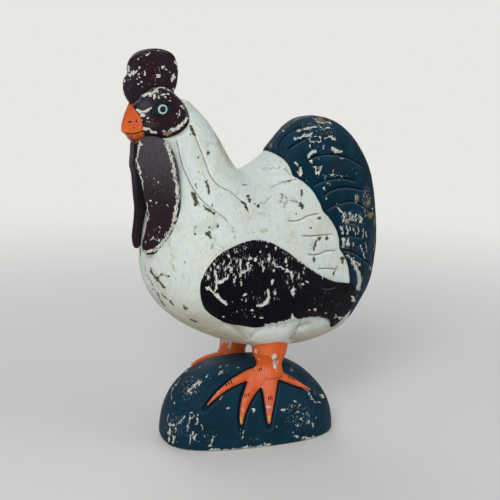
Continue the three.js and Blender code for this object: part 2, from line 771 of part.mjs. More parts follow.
// Pegs of the pieces that come in pairs, for the left side
const wattleAngle = THREE.MathUtils.degToRad(wattleTurn);
const wattlePegRoot = [
  wattleBackX + wattlePegForward * Math.cos(wattleAngle),
  wattleBackY - wattlePegForward * Math.sin(wattleAngle),
  wattlePegHeight,
];
const pairedPegs = {
  wattle_peg: {
    ends: [-0.25, 0.75].map((share) => [
      wattlePegRoot[0] + Math.sin(wattleAngle) * wattlePegLength * share,
      wattlePegRoot[1] + Math.cos(wattleAngle) * wattlePegLength * share,
      wattlePegHeight,
    ]),
    diameter: wattlePegDiameter,
  },
};
wingPegPlaces.forEach(([x, z], i) => {
  const name = i === 0 ? "wing_peg_front" : "wing_peg_back";
  const seat = wingOutAt(0.5, x, z) - wingThickness;
  pairedPegs[name] = {
    ends: [[x, -seat - wingPegLength / 2, z], [x, -seat + wingPegLength / 2, z]],
    diameter: wingPegDiameter,
  };
});

function pegSolid({ ends, diameter }, grow = 0) {
  return peg(ends[0], ends[1], diameter, grow);
}

// Cutting the pieces from the whole forms
const mound = moundSolid();
const thighs = wasm.Manifold.union(Object.values(stances).map((s) => thighSolid(s)));
const body = bodySolid().add(thighs);
const head = headSolid();
const headOutlineLoop = smoothLoop(headOutline, 32);
const headRoom = slab(grownLoop(headOutlineLoop, glueGap), -farAway, farAway);
const seamFront = block([-farAway, -farAway, -farAway], [seamX - glueGap / 2, farAway, farAway]);
const seamBack = block([seamX + glueGap / 2, -farAway, -farAway], [farAway, farAway, farAway]);
const beforeScallops = slab(scallopLoop(-1), -farAway, farAway);
const behindScallops = slab(scallopLoop(1), -farAway, farAway);

function both(solidAt) {
  const left = solidAt();
  return left.add(mirrored(left));
}

const wattleRoom = both(() => wattleSolid(glueGap, wattleThickness));
const wingRoom = both(() => wingSolid(glueGap, wingThickness));
const eyeRoom = both(() => eyeSolid(glueGap));
const commonBores = Object.values(pegs).map((p) => pegSolid(p, glueGap));
const pairedBores = Object.values(pairedPegs).map((p) => both(() => pegSolid(p, glueGap)));
const bores = wasm.Manifold.union([...commonBores, ...pairedBores]);

// Legs: the shoulder is scribed to the thigh, and round tenons go into the body and the mound
const tenonTop = bellyHeight + thighHeight + thighTilt / 2 + upperTenonLength;
const tenonAt = ({ x, y, ground }, grow) => {
  return peg([x, y, ground - lowerTenonLength], [x, y, tenonTop], tenonDiameter, grow);
};
const thighRoom = wasm.Manifold.union(Object.values(stances).map((s) => thighSolid(s, glueGap)));
const raisedBody = bodySolid(glueGap).add(thighRoom).translate([0, 0, bellyHeight]);
const legAt = (stance) => legSolid(stance).subtract(raisedBody).add(tenonAt(stance, 0));
const footRooms = Object.values(stances).map((s) => legSolid(s, glueGap).add(tenonAt(s, glueGap)));
const footRoom = wasm.Manifold.union(footRooms);
const tenonRooms = Object.values(stances).map((s) => tenonAt(s, glueGap));
const tenonRoom = wasm.Manifold.union(tenonRooms).translate([0, 0, -bellyHeight]);

// The two body blocks, without what is let into them
const carvedBody = body
  .intersect(beforeScallops)
  .subtract(headRoom)
  .subtract(wattleRoom)
  .subtract(wingRoom)
  .subtract(bores)
  .subtract(tenonRoom);
const beakRoom = beakSolid(glueGap);
const comb = combSolid().subtract(headRoom).subtract(beakRoom).subtract(bores);
const tail = tailSolid().intersect(behindScallops).subtract(wingRoom).subtract(bores);
const headCut = head.subtract(beakRoom).subtract(eyeRoom).subtract(bores).subtract(wattleRoom);
const leftWattle = wattleSolid().subtract(headRoom).subtract(beakRoom).subtract(bores);
const leftWing = wingSolid().subtract(bores);

// The scene: the bird stands above the mound in a group of its own
const figure = new THREE.Group();
const bird = new THREE.Group();
bird.position.z = bellyHeight;
figure.add(bird);

function addPiece(parent, name, solid, finish) {
  const material = new THREE.MeshStandardMaterial({ ...finish, metalness: 0 });
  const mesh = new THREE.Mesh(geometryOf(solid), material);
  mesh.name = name;
  parent.add(mesh);
}

function addPair(parent, name, left, finish) {
  addPiece(parent, `left_${name}`, left, finish);
  addPiece(parent, `right_${name}`, mirrored(left), finish);
}

addPiece(figure, "base_mound", mound.subtract(footRoom), paint.blue);
addPiece(figure, "left_leg", legAt(stances.left), paint.orange);
addPiece(figure, "right_leg", legAt(stances.right), paint.orange);
addPiece(bird, "body_front_block", carvedBody.intersect(seamFront), paint.cream);
addPiece(bird, "body_rear_block", carvedBody.intersect(seamBack), paint.cream);
addPiece(bird, "tail", tail, paint.blue);
addPiece(bird, "head", headCut, paint.plum);
addPiece(bird, "comb", comb, paint.plum);
addPiece(bird, "beak", beakSolid().subtract(bores), paint.orange);
addPair(bird, "eye", eyeSolid(), paint.white);
addPair(bird, "wattle", leftWattle, paint.plum);
addPair(bird, "wing", leftWing, paint.black);
Object.entries(pegs).forEach(([name, p]) => addPiece(bird, name, pegSolid(p), paint.wood));
Object.entries(pairedPegs).forEach(([name, p]) => addPair(bird, name, pegSolid(p), paint.wood));

export default figure;
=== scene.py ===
import math

import bmesh
import bpy
import numpy as np
from mathutils import Matrix, Vector
from mathutils.bvhtree import BVHTree
from mathutils.kdtree import KDTree


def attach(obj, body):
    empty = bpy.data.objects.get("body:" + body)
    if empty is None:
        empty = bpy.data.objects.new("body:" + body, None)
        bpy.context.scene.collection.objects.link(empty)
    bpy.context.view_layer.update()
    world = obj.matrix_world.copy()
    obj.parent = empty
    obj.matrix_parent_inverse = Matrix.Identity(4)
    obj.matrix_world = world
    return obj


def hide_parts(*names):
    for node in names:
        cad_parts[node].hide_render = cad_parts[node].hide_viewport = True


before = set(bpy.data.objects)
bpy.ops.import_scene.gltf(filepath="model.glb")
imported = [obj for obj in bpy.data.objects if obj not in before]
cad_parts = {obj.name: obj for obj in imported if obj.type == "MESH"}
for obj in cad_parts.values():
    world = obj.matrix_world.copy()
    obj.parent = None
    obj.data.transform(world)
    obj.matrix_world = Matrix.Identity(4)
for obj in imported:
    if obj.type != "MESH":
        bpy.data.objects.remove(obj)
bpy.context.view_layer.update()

# A carved and painted wooden rooster on a rounded mound.
# Shapes are worked out in millimetres and turned into metres when a mesh is made.
# The beak points towards -X, the rooster's left side towards -Y, and +Z is up.

MM = 0.001
scene = bpy.context.scene
rng = np.random.default_rng(7)

# The photograph's camera, in millimetres and degrees, for an image of 500 by 500 pixels
EYE = np.array([-454.2, -887.5, 425.0])
TURN = math.radians(27.0)
PITCH = math.radians(12.8)
ROLL = math.radians(1.78)
FOCAL_PX = 988.0
IMAGE_PX = 500.0
SENSOR_MM = 36.0


def camera_axes():
    ahead = np.array([math.sin(TURN), math.cos(TURN), 0.0])
    level = np.array([math.cos(TURN), -math.sin(TURN), 0.0])
    up = np.array([0.0, 0.0, 1.0])
    forward = ahead * math.cos(PITCH) - up * math.sin(PITCH)
    down = -(up * math.cos(PITCH) + ahead * math.sin(PITCH))
    right = level * math.cos(ROLL) - down * math.sin(ROLL)
    below = level * math.sin(ROLL) + down * math.cos(ROLL)
    return right, below, forward


RIGHT, BELOW, FORWARD = camera_axes()


def to_pixels(points):
    """Where points in millimetres fall in the photograph."""
    away = points - EYE
    depth = away @ FORWARD
    across = away @ RIGHT / depth * FOCAL_PX + IMAGE_PX / 2
    down = away @ BELOW / depth * FOCAL_PX + IMAGE_PX / 2
    return np.stack([across, down], axis=1)


def linked(name, data):
    found = bpy.data.objects.new(name, data)
    scene.collection.objects.link(found)
    return found


def add_camera():
    data = bpy.data.cameras.new("camera")
    data.sensor_width = SENSOR_MM
    data.lens = FOCAL_PX / IMAGE_PX * SENSOR_MM
    camera = linked("camera", data)
    axes = Matrix((RIGHT, -BELOW, -FORWARD)).transposed().to_4x4()
    camera.matrix_world = Matrix.Translation(Vector(EYE * MM)) @ axes
    scene.camera = camera


# Curves and closed skins

def hermite(points, closed=False, power=0.5, per=10):
    """Points along a Catmull-Rom curve, with its knots spaced by distance to a power. A flat row
    of numbers is read as pairs."""
    knots = np.asarray(points, float)
    if knots.ndim == 1:
        knots = knots.reshape(-1, 2)
    if closed:
        ring = np.vstack([knots[-1], knots, knots[0], knots[1]])
    else:
        ring = np.vstack([2 * knots[0] - knots[1], knots, 2 * knots[-1] - knots[-2]])
    t = np.linspace(0, 1, per, endpoint=False)[:, None]
    found = []
    for a, b, c, d in zip(ring, ring[1:], ring[2:], ring[3:]):
        ab, bc, cd = (max(np.linalg.norm(q - p) ** power, 1e-4) for p, q in ((a, b), (b, c), (c, d)))
        start = ((b - a) / ab - (c - a) / (ab + bc) + (c - b) / bc) * bc
        end = ((c - b) / bc - (d - b) / (bc + cd) + (d - c) / cd) * bc
        square, cube = 3 * (c - b) - 2 * start - end, 2 * (b - c) + start + end
        found.append(b + start * t + square * t**2 + cube * t**3)
    if not closed:
        found.append(knots[-1:])
    return np.vstack(found)


def even(points, count, closed):
    """The same line with evenly spaced points."""
    line = np.vstack([points, points[:1]]) if closed else points
    reach = np.concatenate([[0], np.cumsum(np.linalg.norm(np.diff(line, axis=0), axis=1))])
    places = np.linspace(0, reach[-1], count, endpoint=not closed)
    return np.stack([np.interp(places, reach, line[:, k]) for k in range(line.shape[1])], axis=1)


def smooth_loop(points, count):
    return even(hermite(points, True, per=12), count, True)


def grown(loop, distance):
    ahead, behind = np.roll(loop, -1, 0), np.roll(loop, 1, 0)
    area = np.sum(loop[:, 0] * ahead[:, 1] - ahead[:, 0] * loop[:, 1])
    along = ahead - behind
    along /= np.linalg.norm(along, axis=1, keepdims=True)
    return loop + np.sign(area) * distance * np.stack([along[:, 1], -along[:, 0]], axis=1)


def turned(a, b, angle):
    """Two coordinates turned by an angle."""
    return a * math.cos(angle) - b * math.sin(angle), a * math.sin(angle) + b * math.cos(angle)


def around(sides):
    return np.linspace(0, 2 * math.pi, sides, endpoint=False)


def hoop(x, y, radius, height, angle):
    """A ring round an upright axis, whose height may differ from point to point."""
    return np.stack([x + radius * np.cos(angle), y + radius * np.sin(angle), height + 0 * angle], axis=1)


def skin(rings, start=None, end=None):
    """A closed skin over equal rings, closed by a fan at each end: its points and faces."""
    rings = np.asarray(rings, float)
    start = rings[0].mean(0) if start is None else start
    end = rings[-1].mean(0) if end is None else end
    count, size = rings.shape[:2]
    points = np.vstack([rings.reshape(-1, 3), start, end])
    j = np.arange(size)
    ahead = (j + 1) % size
    faces = []
    for i in range(count - 1):
        a, b = i * size + j, i * size + ahead
        faces.extend(zip(a.tolist(), b.tolist(), (b + size).tolist(), (a + size).tolist()))
    first, last = count * size, (count - 1) * size
    faces.extend(zip([first] * size, ahead.tolist(), j.tolist()))
    faces.extend(zip([first + 1] * size, (last + j).tolist(), (last + ahead).tolist()))
    return points, faces


def joined(*parts):
    """Several skins as one list of points and faces."""
    points, faces, offset = [], [], 0
    for p, f in parts:
        points.append(p)
        faces.extend(tuple(v + offset for v in face) for face in f)
        offset += len(p)
    return np.vstack(points), faces


def mirrored(part):
    points, faces = part
    return points * [1, -1, 1], [face[::-1] for face in faces]


def slab(loop, low, high):
    """A straight block of an x-z outline between two depths."""
    count = len(loop)
    near = np.insert(loop, 1, low, axis=1)
    far = np.insert(loop, 1, high, axis=1)
    sides = [(i, (i + 1) % count, (i + 1) % count + count, i + count) for i in range(count)]
    return np.vstack([near, far]), [tuple(range(count))[::-1], tuple(range(count, 2 * count)), *sides]


def board(outline, count, centre, shares, half_at):
    """A board that swells to both sides, over a side view whose points draw in to a centre."""
    loop = smooth_loop(outline, count)

    def ring(share, side):
        flat = centre + (loop - centre) * share
        return np.insert(flat, 1, side * half_at(share, flat[:, 0]), axis=1)
    points, faces = skin([ring(s, -1) for s in shares] + [ring(s, 1) for s in shares[::-1]])
    return points + [0, 0, BELLY], faces


def shares_out(crest, inner, rim, outer):
    """Shares of the way from a board's centre to its edge, closer together beyond its crest."""
    return np.concatenate([np.linspace(0.05, crest, inner), np.linspace(rim, 1, outer)])


def lathe(profile, centre, sides=64):
    """A turned form on an upright axis through centre, from its (radius, height) points."""
    rings = [hoop(*centre, r, z, around(sides)) for r, z in profile]
    return skin(rings, (*centre, profile[0][1]), (*centre, profile[-1][1]))


# Even random fields for hand-made unevenness

def lattice(cells, seed):
    x, y, z = (cells[:, k].astype(np.int64) for k in range(3))
    h = (x * 73856093) ^ (y * 19349663) ^ (z * 83492791) ^ (seed * 7919)
    h = ((h ^ (h >> 13)) * 1274126177) & 0xFFFFFFFF
    return ((h ^ (h >> 16)) & 0xFFFF) / 32767.5 - 1


def field(points, size, seed):
    """A smooth random value from -1 to 1 at each point, with features of that size."""
    place = points / size
    cell = np.floor(place)
    f = place - cell
    f = f * f * (3 - 2 * f)
    total = np.zeros(len(points))
    for corner in np.ndindex(2, 2, 2):
        share = np.prod(np.where(corner, f, 1 - f), axis=1)
        total += share * lattice(cell + corner, seed)
    return total


def ease(value, low, high):
    t = np.clip((value - low) / (high - low), 0, 1)
    return t * t * (3 - 2 * t)


def bell(value, middle, half):
    return np.exp(-(((value - middle) / half) ** 2))


def jostle(points, amount, axes):
    """A small ragged push along each axis."""
    push = [amount * field(points, 3.9, 3 + k) + 0.8 * field(points, 1.7, 13 + k) for k in range(axes)]
    return np.stack(push, axis=1)


# Meshes

def mesh_object(name, part):
    """A new object of a closed skin, whose faces are made to point outwards."""
    points, faces = part
    mesh = bpy.data.meshes.new(name)
    mesh.from_pydata((points * MM).tolist(), [], faces)
    mesh.validate()
    bm = bmesh.new()
    bm.from_mesh(mesh)
    bmesh.ops.recalc_face_normals(bm, faces=bm.faces)
    bm.to_mesh(mesh)
    bm.free()
    return linked(name, mesh)


def settle(piece):
    """Turns a piece's modifiers into its mesh."""
    graph = bpy.context.evaluated_depsgraph_get()
    made = bpy.data.meshes.new_from_object(piece.evaluated_get(graph))
    piece.modifiers.clear()
    piece.data = made


def cut(piece, tool_part):
    tool = mesh_object("cutter", tool_part)
    step = piece.modifiers.new("cut", "BOOLEAN")
    step.operation = "DIFFERENCE"
    step.solver = "MANIFOLD"
    step.object = tool
    settle(piece)
    bpy.data.objects.remove(tool)


def remesh(piece, voxel):
    step = piece.modifiers.new("even", "REMESH")
    step.mode = "VOXEL"
    step.voxel_size = voxel * MM
    settle(piece)


def read(items, name, width, kind=np.float32):
    found = np.empty(len(items) * width, kind)
    items.foreach_get(name, found)
    return found.reshape(-1, width)


def points_of(piece):
    return read(piece.data.vertices, "co", 3).astype(float) / MM


def set_points(piece, points):
    piece.data.vertices.foreach_set("co", (points * MM).astype(np.float32).ravel())
    piece.data.update()


def normals_of(piece):
    return read(piece.data.vertex_normals, "vector", 3).astype(float)


def push_out(piece, amount):
    """Moves each point along its normal."""
    set_points(piece, points_of(piece) + normals_of(piece) * amount[:, None])


def relax(piece, times):
    """Moves each point half the way to the middle of its neighbours, so many times."""
    points = points_of(piece)
    a, b = read(piece.data.edges, "vertices", 2, np.int32).T
    count = np.bincount(a, minlength=len(points)) + np.bincount(b, minlength=len(points))
    count = np.maximum(count, 1)[:, None]
    for _ in range(times):
        sums = [np.bincount(a, c[b], len(points)) + np.bincount(b, c[a], len(points)) for c in points.T]
        points += 0.5 * (np.stack(sums, axis=1) / count - points)
    set_points(piece, points)


def refine(piece, near):
    """Splits the faces where near says so, once."""
    wanted = near(points_of(piece))
    bm = bmesh.new()
    bm.from_mesh(piece.data)
    bm.verts.ensure_lookup_table()
    chosen = [e for e in bm.edges if wanted[e.verts[0].index] and wanted[e.verts[1].index]]
    if chosen:
        bmesh.ops.subdivide_edges(bm, edges=chosen, cuts=1, use_grid_fill=True)
    bmesh.ops.triangulate(bm, faces=[f for f in bm.faces if len(f.verts) > 4])
    bm.to_mesh(piece.data)
    bm.free()


def attribute(piece, name, values):
    made = piece.data.attributes.get(name) or piece.data.attributes.new(name, "FLOAT", "POINT")
    made.data.foreach_set("value", values.astype(np.float32))


def values_of(piece, name):
    """An attribute's values, which are zeros until it is written."""
    found = piece.data.attributes.get(name)
    return read(found.data, "value", 1)[:, 0].astype(float) if found else np.zeros(len(piece.data.vertices))


def raised(piece, name, values):
    """Writes an attribute's values where they are higher than before."""
    attribute(piece, name, np.maximum(values_of(piece, name), values))


def tree_of(piece):
    graph = bpy.context.evaluated_depsgraph_get()
    return BVHTree.FromObject(piece, graph)


def onto(tree, pixels):
    """Where lines of sight through pixels of the photograph meet a piece."""
    found = []
    for x, y in pixels:
        ray = FORWARD * FOCAL_PX + RIGHT * (x - IMAGE_PX / 2) + BELOW * (y - IMAGE_PX / 2)
        hit = tree.ray_cast(Vector(EYE * MM), Vector(ray).normalized())[0]
        if hit is not None:
            found.append(np.array(hit) / MM)
    return np.array(found)


def lines_on(piece, table, spacing=0.6):
    """Smooth lines through rows of pixels, laid on a piece and copied to its other side."""
    tree = tree_of(piece)
    found = []
    for pixels in table:
        places = onto(tree, hermite(pixels))
        if len(places) > 1:
            length = np.sum(np.linalg.norm(np.diff(places, axis=0), axis=1))
            line = even(places, max(int(length / spacing), 3), False)
            found += [line, line * [1, -1, 1]]
    return found


def nearest(lines, points):
    """For each point: the nearest place on the lines, how far it is from its line's ends, and
    how far it is away."""
    samples = np.vstack(lines)
    counts = [np.arange(len(line)) for line in lines]
    inset = np.concatenate([np.minimum(count, count[::-1]) for count in counts]) * 0.6
    tree = KDTree(len(samples))
    for i, place in enumerate(samples):
        tree.insert(place, i)
    tree.balance()
    found = [tree.find(p) for p in points]
    index = np.array([f[1] for f in found])
    return samples[index], inset[index], np.array([f[2] for f in found])


def carve(piece, lines, width, depth, shoulder=0.0, spread=7.0, lip=0.0, fine=True):
    """Cuts grooves along lines, with a raised lip and wood that falls away towards each one."""
    for reach in (width * 1.6, width * 0.9) if fine else ():
        refine(piece, lambda places: nearest(lines, places)[2] < reach)
    points = points_of(piece)
    place, inset, distance = nearest(lines, points)
    fade = ease(inset, 0, 7)
    groove = (1 - ease(distance, 0, width / 2)) ** 0.9
    fall = np.clip(1 - distance / spread, 0, 1) ** 2
    ridge = bell(distance, width * 0.8, width * 0.35)
    push_out(piece, -(depth * groove + shoulder * fall - lip * ridge) * fade)
    below = ease((points - place) @ (0.7, 0, -0.7), 0.0, 0.5)
    # Painted shade: the middle of each groove is darkened.
    raised(piece, "grime_and_shade", (1 - ease(distance, width * 0.08, width * 0.5)) * fade)
    # Painted highlight: a lighter band on the lower lip of each groove, on the side where light would
    # catch.
    raised(piece, "lip", bell(distance, width * 0.75, width * 0.3) * below * fade)


# Sizes shared by the pieces
BELLY = 92.0
SEAM_X, SEAM_FADE, SEAM_TOP, SEAM_DEPTH = 25.0, BELLY + 40, BELLY + 66, 0.4
BODY_HALF = 69.0
FAR = 400.0

# The mound
MOUND_LONG, MOUND_WIDE, MOUND_HIGH = 188.0, 101.0, 85.0
MOUND_LEAN = 7.0
MOUND_TURN = math.radians(-7.0)
MOUND_PLAN, MOUND_SIDE = 2.7, 2.26
FOOT_ROUND = 2.0


def mound_field(p):
    level = np.clip(p[..., 2] / MOUND_HIGH, 0, 1)
    forward, sideways = turned(p[..., 0], p[..., 1], -MOUND_TURN)
    along = np.abs(forward + MOUND_LEAN * level**2) / (MOUND_LONG / 2)
    across = np.abs(sideways) / (MOUND_WIDE / 2)
    reach = (along**MOUND_PLAN + across**MOUND_PLAN) ** (1 / MOUND_PLAN)
    return reach**MOUND_SIDE + level**MOUND_SIDE - 1


def mound_normal(p):
    step = 0.01
    slope = [mound_field(p + step * axis) - mound_field(p - step * axis) for axis in np.eye(3)]
    return np.array(slope) / np.linalg.norm(slope)


def onto_mound(p):
    found = np.array(p, float)
    for _ in range(12):
        normal = mound_normal(found)
        slope = (mound_field(found + 0.01 * normal) - mound_field(found)) / 0.01
        found = found - normal * mound_field(found) / max(slope, 1e-3)
    return found


def mound_ring(level, inset, sides=220):
    spread = (1 - level**MOUND_SIDE) ** (1 / MOUND_SIDE)

    def out(size, wave):
        return (size / 2 * spread - inset) * np.sign(wave) * np.abs(wave) ** (2 / MOUND_PLAN)
    forward = out(MOUND_LONG, np.cos(around(sides))) - MOUND_LEAN * level**2
    x, y = turned(forward, out(MOUND_WIDE, np.sin(around(sides))), MOUND_TURN)
    return np.stack([x, y, np.full(sides, level * MOUND_HIGH)], axis=1)


def mound_skin():
    levels = np.sin(np.linspace(0, 1, 60)[1:-1] * math.pi / 2)
    foot = FOOT_ROUND / MOUND_HIGH
    rings = [mound_ring(0, FOOT_ROUND), mound_ring(foot, 0)]
    rings += [mound_ring(level, 0) for level in levels if level > foot * 1.2]
    return skin(rings, end=onto_mound([-MOUND_LEAN, 0, MOUND_HIGH]))


# The feet: each stance, each toe's turn from downhill, bend, reach and share of the width, and how
# far the front of each leg reaches at its foot and at its top as a share of its radius
LEG_X, STRIDE, LEG_SPACING = 10.0, 14.0, 56.0
STANCES = [(LEG_X, -LEG_SPACING / 2, -1), (LEG_X - STRIDE, LEG_SPACING / 2, 1)]
TOES = {
    -1: [(91, -53, 77, 1), (66.5, -65, 67, 1.4), (14, -13, 55, 1.5), (-55, 0, 52, 0.85)],
    1: [(106, -46, 52, 1.5), (66, -60, 62, 1.4), (12, -10, 52, 1.5), (-55, 0, 50, 0.85)],
}
FRONTS = {-1: (1.0, 1.0), 1: (1.6, 0.75)}
TOE_WIDTH, TOE_RISE, TOE_BED = 15.0, 6.0, 4.0
THIGH_WIDE, SHANK_WIDE, ANKLE_WIDE = 36.0, 26.0, 30.0
THIGH_HEIGHT, THIGH_SKIRT, THIGH_SWELL = 4.0, 1.5, 6.0
THIGH_TILT, THIGH_TILT_FORWARD = 17.0, math.radians(20.0)


def ground_at(x, y):
    heights = np.linspace(0, MOUND_HIGH, 2000)
    places = np.stack([np.full(2000, x), np.full(2000, y), heights], axis=1)
    return heights[np.argmax(mound_field(places) > 0)]


def toe_path(toe, stance, steps=40):
    """The line that a toe follows over the mound: its places, uprights, sides and shares."""
    turn, bend, reach, _ = toe
    x, y, side = stance
    place = np.array([x, y, ground_at(x, y)])
    rows = []
    for i in range(steps + 1):
        share = i / steps
        normal = mound_normal(place)
        downhill = np.array([0, 0, -1.0]) + normal * normal[2]
        downhill /= np.linalg.norm(downhill)
        forward = -side * np.cross(downhill, normal)
        angle = math.radians(turn + bend * share)
        along = downhill * math.cos(angle) + forward * math.sin(angle)
        rows.append((place.copy(), normal, np.cross(normal, along), share))
        place = onto_mound(place + along * reach / steps)
    return rows


def toe_half(share, width):
    return TOE_WIDTH / 2 * width * (1 - 0.85 * share)


def toe_skin(toe, stance, sides=28):
    rings = []
    wave = np.sin(around(sides))
    for place, normal, side, share in toe_path(toe, stance):
        lift = np.where(wave > 0, TOE_RISE, TOE_BED) * math.sqrt(1 - 0.85 * share) * wave
        out = toe_half(share, toe[3]) * np.cos(around(sides))
        rings.append(place + np.outer(out, side) + np.outer(lift, normal))
    last = rings[-1].mean(0)
    return skin(rings, end=last + (last - rings[-2].mean(0)) * 1.5)


def leg_skin(stance):
    """A leg without its toes: ankle, shank and thigh, with the front drawn out or in."""
    x, y, side = stance
    ground = ground_at(x, y)
    shoulder = BELLY + THIGH_HEIGHT
    rise = shoulder - ground
    knots = [
        (ANKLE_WIDE / 2, ground - TOE_BED), (ANKLE_WIDE / 2, ground), (SHANK_WIDE / 2 + 0.5, ground + 5),
        (SHANK_WIDE / 2, ground + rise * 0.4), ((SHANK_WIDE + THIGH_WIDE) / 4, ground + rise * 0.75),
        (THIGH_WIDE / 2, shoulder), (THIGH_WIDE / 2, shoulder + THIGH_TILT + 6),
    ]
    points, faces = lathe(hermite(knots, per=8), (x, y))
    instep, shin = FRONTS[side]
    front = instep + (shin - instep) * np.clip((points[:, 2] - ground) / rise, 0, 1)
    points[:, 0] = x + (points[:, 0] - x) * np.where(points[:, 0] < x, front, 1)
    return points, faces


# The body, as sections from the crown of the neck to the rump: the low end, the high end,
# the half width as a share of the widest, the squareness and the drop of the width
SECTIONS = [
    (-122, 254, -77, 262, 0.26, 2.1, 0), (-117, 232, -67, 253, 0.35, 2.1, 0),
    (-111, 209, -56, 242, 0.44, 2.1, 0), (-108, 184, -45, 226, 0.53, 2.1, 0),
    (-110, 158, -36, 210, 0.64, 2.1, 0), (-115, 131, -28, 198, 0.77, 2.1, 0.04),
    (-117, 105, -20, 191, 0.89, 2.15, 0.1), (-112, 76, -12, 190, 0.97, 2.2, 0.16),
    (-95, 51, -4, 193, 1, 2.2, 0.24), (-68, 31.5, 3, 198, 1, 2.2, 0.32),
    (-36, 17, 10, 204, 0.98, 2.2, 0.38), (-2, 9, 18, 212, 0.94, 2.2, 0.42),
    (28, 5, 30, 222, 0.87, 2.2, 0.44), (56, 5, 46, 227, 0.78, 2.2, 0.44),
    (82, 9, 66, 224, 0.68, 2.2, 0.42), (106, 18, 88, 208, 0.56, 2.2, 0.4),
    (124, 33, 104, 182, 0.44, 2.2, 0.38),
]


def body_skin(per=10, sides=160):
    angle = 2 * math.pi * (np.arange(sides) + 0.5) / sides
    c, s = np.cos(angle), np.sin(angle)
    rings = []
    for lx, lz, hx, hz, half, square, drop in hermite(SECTIONS, power=0.0, per=per):
        up = -np.sign(c) * np.abs(c) ** (2 / square)
        out = BODY_HALF * half * np.sign(s) * np.abs(s) ** (2 / square) * (1 + drop * c)
        mx, mz = (lx + hx) / 2, (lz + hz) / 2
        rings.append(np.stack([mx + (hx - lx) / 2 * up, out, mz + (hz - lz) / 2 * up + BELLY], axis=1))
    return skin(rings)


def thigh_skin(stance, sides=96):
    """The swelling of the belly round the top of a leg, whose rim rises towards the flank."""
    x, y, side = stance
    radius = THIGH_WIDE / 2 + THIGH_SKIRT
    angle = around(sides)
    sideways, forward = math.cos(THIGH_TILT_FORWARD), math.sin(THIGH_TILT_FORWARD)
    out = side * np.sin(angle) * sideways - np.cos(angle) * forward
    rise = THIGH_TILT * ((1 + out) / 2) ** 2
    knots = [
        (0.3, 0), (radius * 0.9, 0), (radius * 0.97, 0.6), (radius, 3), (radius + THIGH_SWELL * 0.8, 12),
        (radius + THIGH_SWELL, 26), (0.3, 27),
    ]
    foot = BELLY + THIGH_HEIGHT
    return skin([hoop(x, y, r, foot + z + rise, angle) for r, z in hermite(knots, per=6)])


# The scalloped line where the saddle feathers meet the tail
CUSPS = [(-2, 212), (27, 187), (58, 151), (77.5, 112), (92.5, 69), (102, 28)]
BULGES = (10, 6.5, 6.5, 6, 5)


def scallop_line():
    line = []
    for (x, z), (nx, nz), bulge in zip(CUSPS, CUSPS[1:], BULGES):
        start, end = np.array([x, z], float), np.array([nx, nz], float)
        out = np.array([-(nz - z), nx - x]) / math.hypot(nx - x, nz - z)
        middle = (start + end) / 2 + 2 * bulge * out
        t = np.linspace(0, 1, 14, endpoint=False)[:, None]
        line.append((1 - t) ** 2 * start + 2 * t * (1 - t) * middle + t**2 * end)
    return np.vstack([*line, [CUSPS[-1]]])


def scallop_slab(side, shift):
    """Everything on one side of the scalloped line, moved along X."""
    line = scallop_line() + [shift, BELLY]
    top, low = line[0, 1] + FAR, line[-1, 1] - FAR
    corners = [(line[-1, 0], low), (side * FAR, low), (side * FAR, top)]
    return slab(np.vstack([[(line[0, 0], top)], line, corners]), -FAR, FAR)


# The tail board
TAIL = (
    8, 199, 14.5, 211.5, 23, 222.5, 34, 234, 46, 241, 59, 244, 74, 243.5, 89, 238.5, 104.5, 229, 118.5, 215,
    130, 197, 138, 176, 143, 153, 146, 129, 147, 106, 145.5, 83, 140, 61, 128.5, 39, 115, 22, 99, 15, 76,
    60, 40, 120,
)
TAIL_CENTRE = (60, 112)
TAIL_THICK, TAIL_RIM = 92.0, 24.0


def tail_skin():
    def half_at(share, x):
        rim = TAIL_RIM / 2
        crown = (TAIL_THICK / 2 - rim) * (1 - share**2) ** 0.8
        return rim + crown - rim * 0.45 * ease(share, 0.93, 1.0) ** 2
    rim_shares = np.sin(np.linspace(0.35, 1, 8) * math.pi / 2) * 0.06 + 0.94
    shares = np.concatenate([np.linspace(0.05, 0.94, 26), rim_shares])
    return board(TAIL, 240, TAIL_CENTRE, shares, half_at)


# The head
HEAD = (
    -134, 257, -130, 263, -124, 268, -116, 273.5, -107, 275, -98, 271, -91, 265, -85, 258, -81, 250, -80,
    243, -82, 237, -88, 231, -96, 227, -105, 225, -115, 226, -124, 229, -129, 236, -132, 247,
)
HEAD_CENTRE = (-108, 250)
HEAD_THICK, HEAD_RIM, HEAD_FRONT = 52.0, 40.0, 11.0
HEAD_FRONT_X, HEAD_BACK_X = -134.0, -80.0


def head_half(share, x):
    back = np.clip((x - HEAD_FRONT_X) / (HEAD_BACK_X - HEAD_FRONT_X), 0, 1)
    rim = HEAD_FRONT / 2 + (HEAD_RIM - HEAD_FRONT) / 2 * back**0.7
    return rim + (HEAD_THICK - HEAD_RIM) / 2 * np.sqrt(1 - share**2) - 2.2 * ease(share, 0.86, 1.0) ** 2


def head_skin():
    return board(HEAD, 200, HEAD_CENTRE, shares_out(0.86, 16, 0.89, 6), head_half)


# The comb
COMB = (
    -135, 260, -139, 268, -139.5, 277, -138, 282.5, -135, 286.5, -136, 291, -133.5, 299, -127, 305, -117,
    308.5, -108, 309.5, -99, 308, -92, 304.5, -88, 298, -86.5, 290, -87, 280, -89, 272, -93, 264, -101, 257,
    -112, 252, -126, 253,
)
COMB_CENTRE = (-112, 282)
COMB_THICK, COMB_RIM = 17.0, 11.0


def comb_skin():
    def half_at(share, x):
        crown = (COMB_THICK - COMB_RIM) / 2 * (1 - share**4)
        return COMB_RIM / 2 + crown - 2.0 * ease(share, 0.84, 1.0) ** 2
    return board(COMB, 200, COMB_CENTRE, shares_out(0.84, 14, 0.87, 7), half_at)


# The beak
BEAK = (
    -132, 259, -136, 252, -139, 245, -141, 237, -140.5, 231, -137, 228.5, -133.5, 224, -129, 220.5, -123,
    222, -118, 229, -116, 238, -119, 248, -126, 256,
)
BEAK_CENTRE = (-128, 240)
BEAK_THICK = 26.0


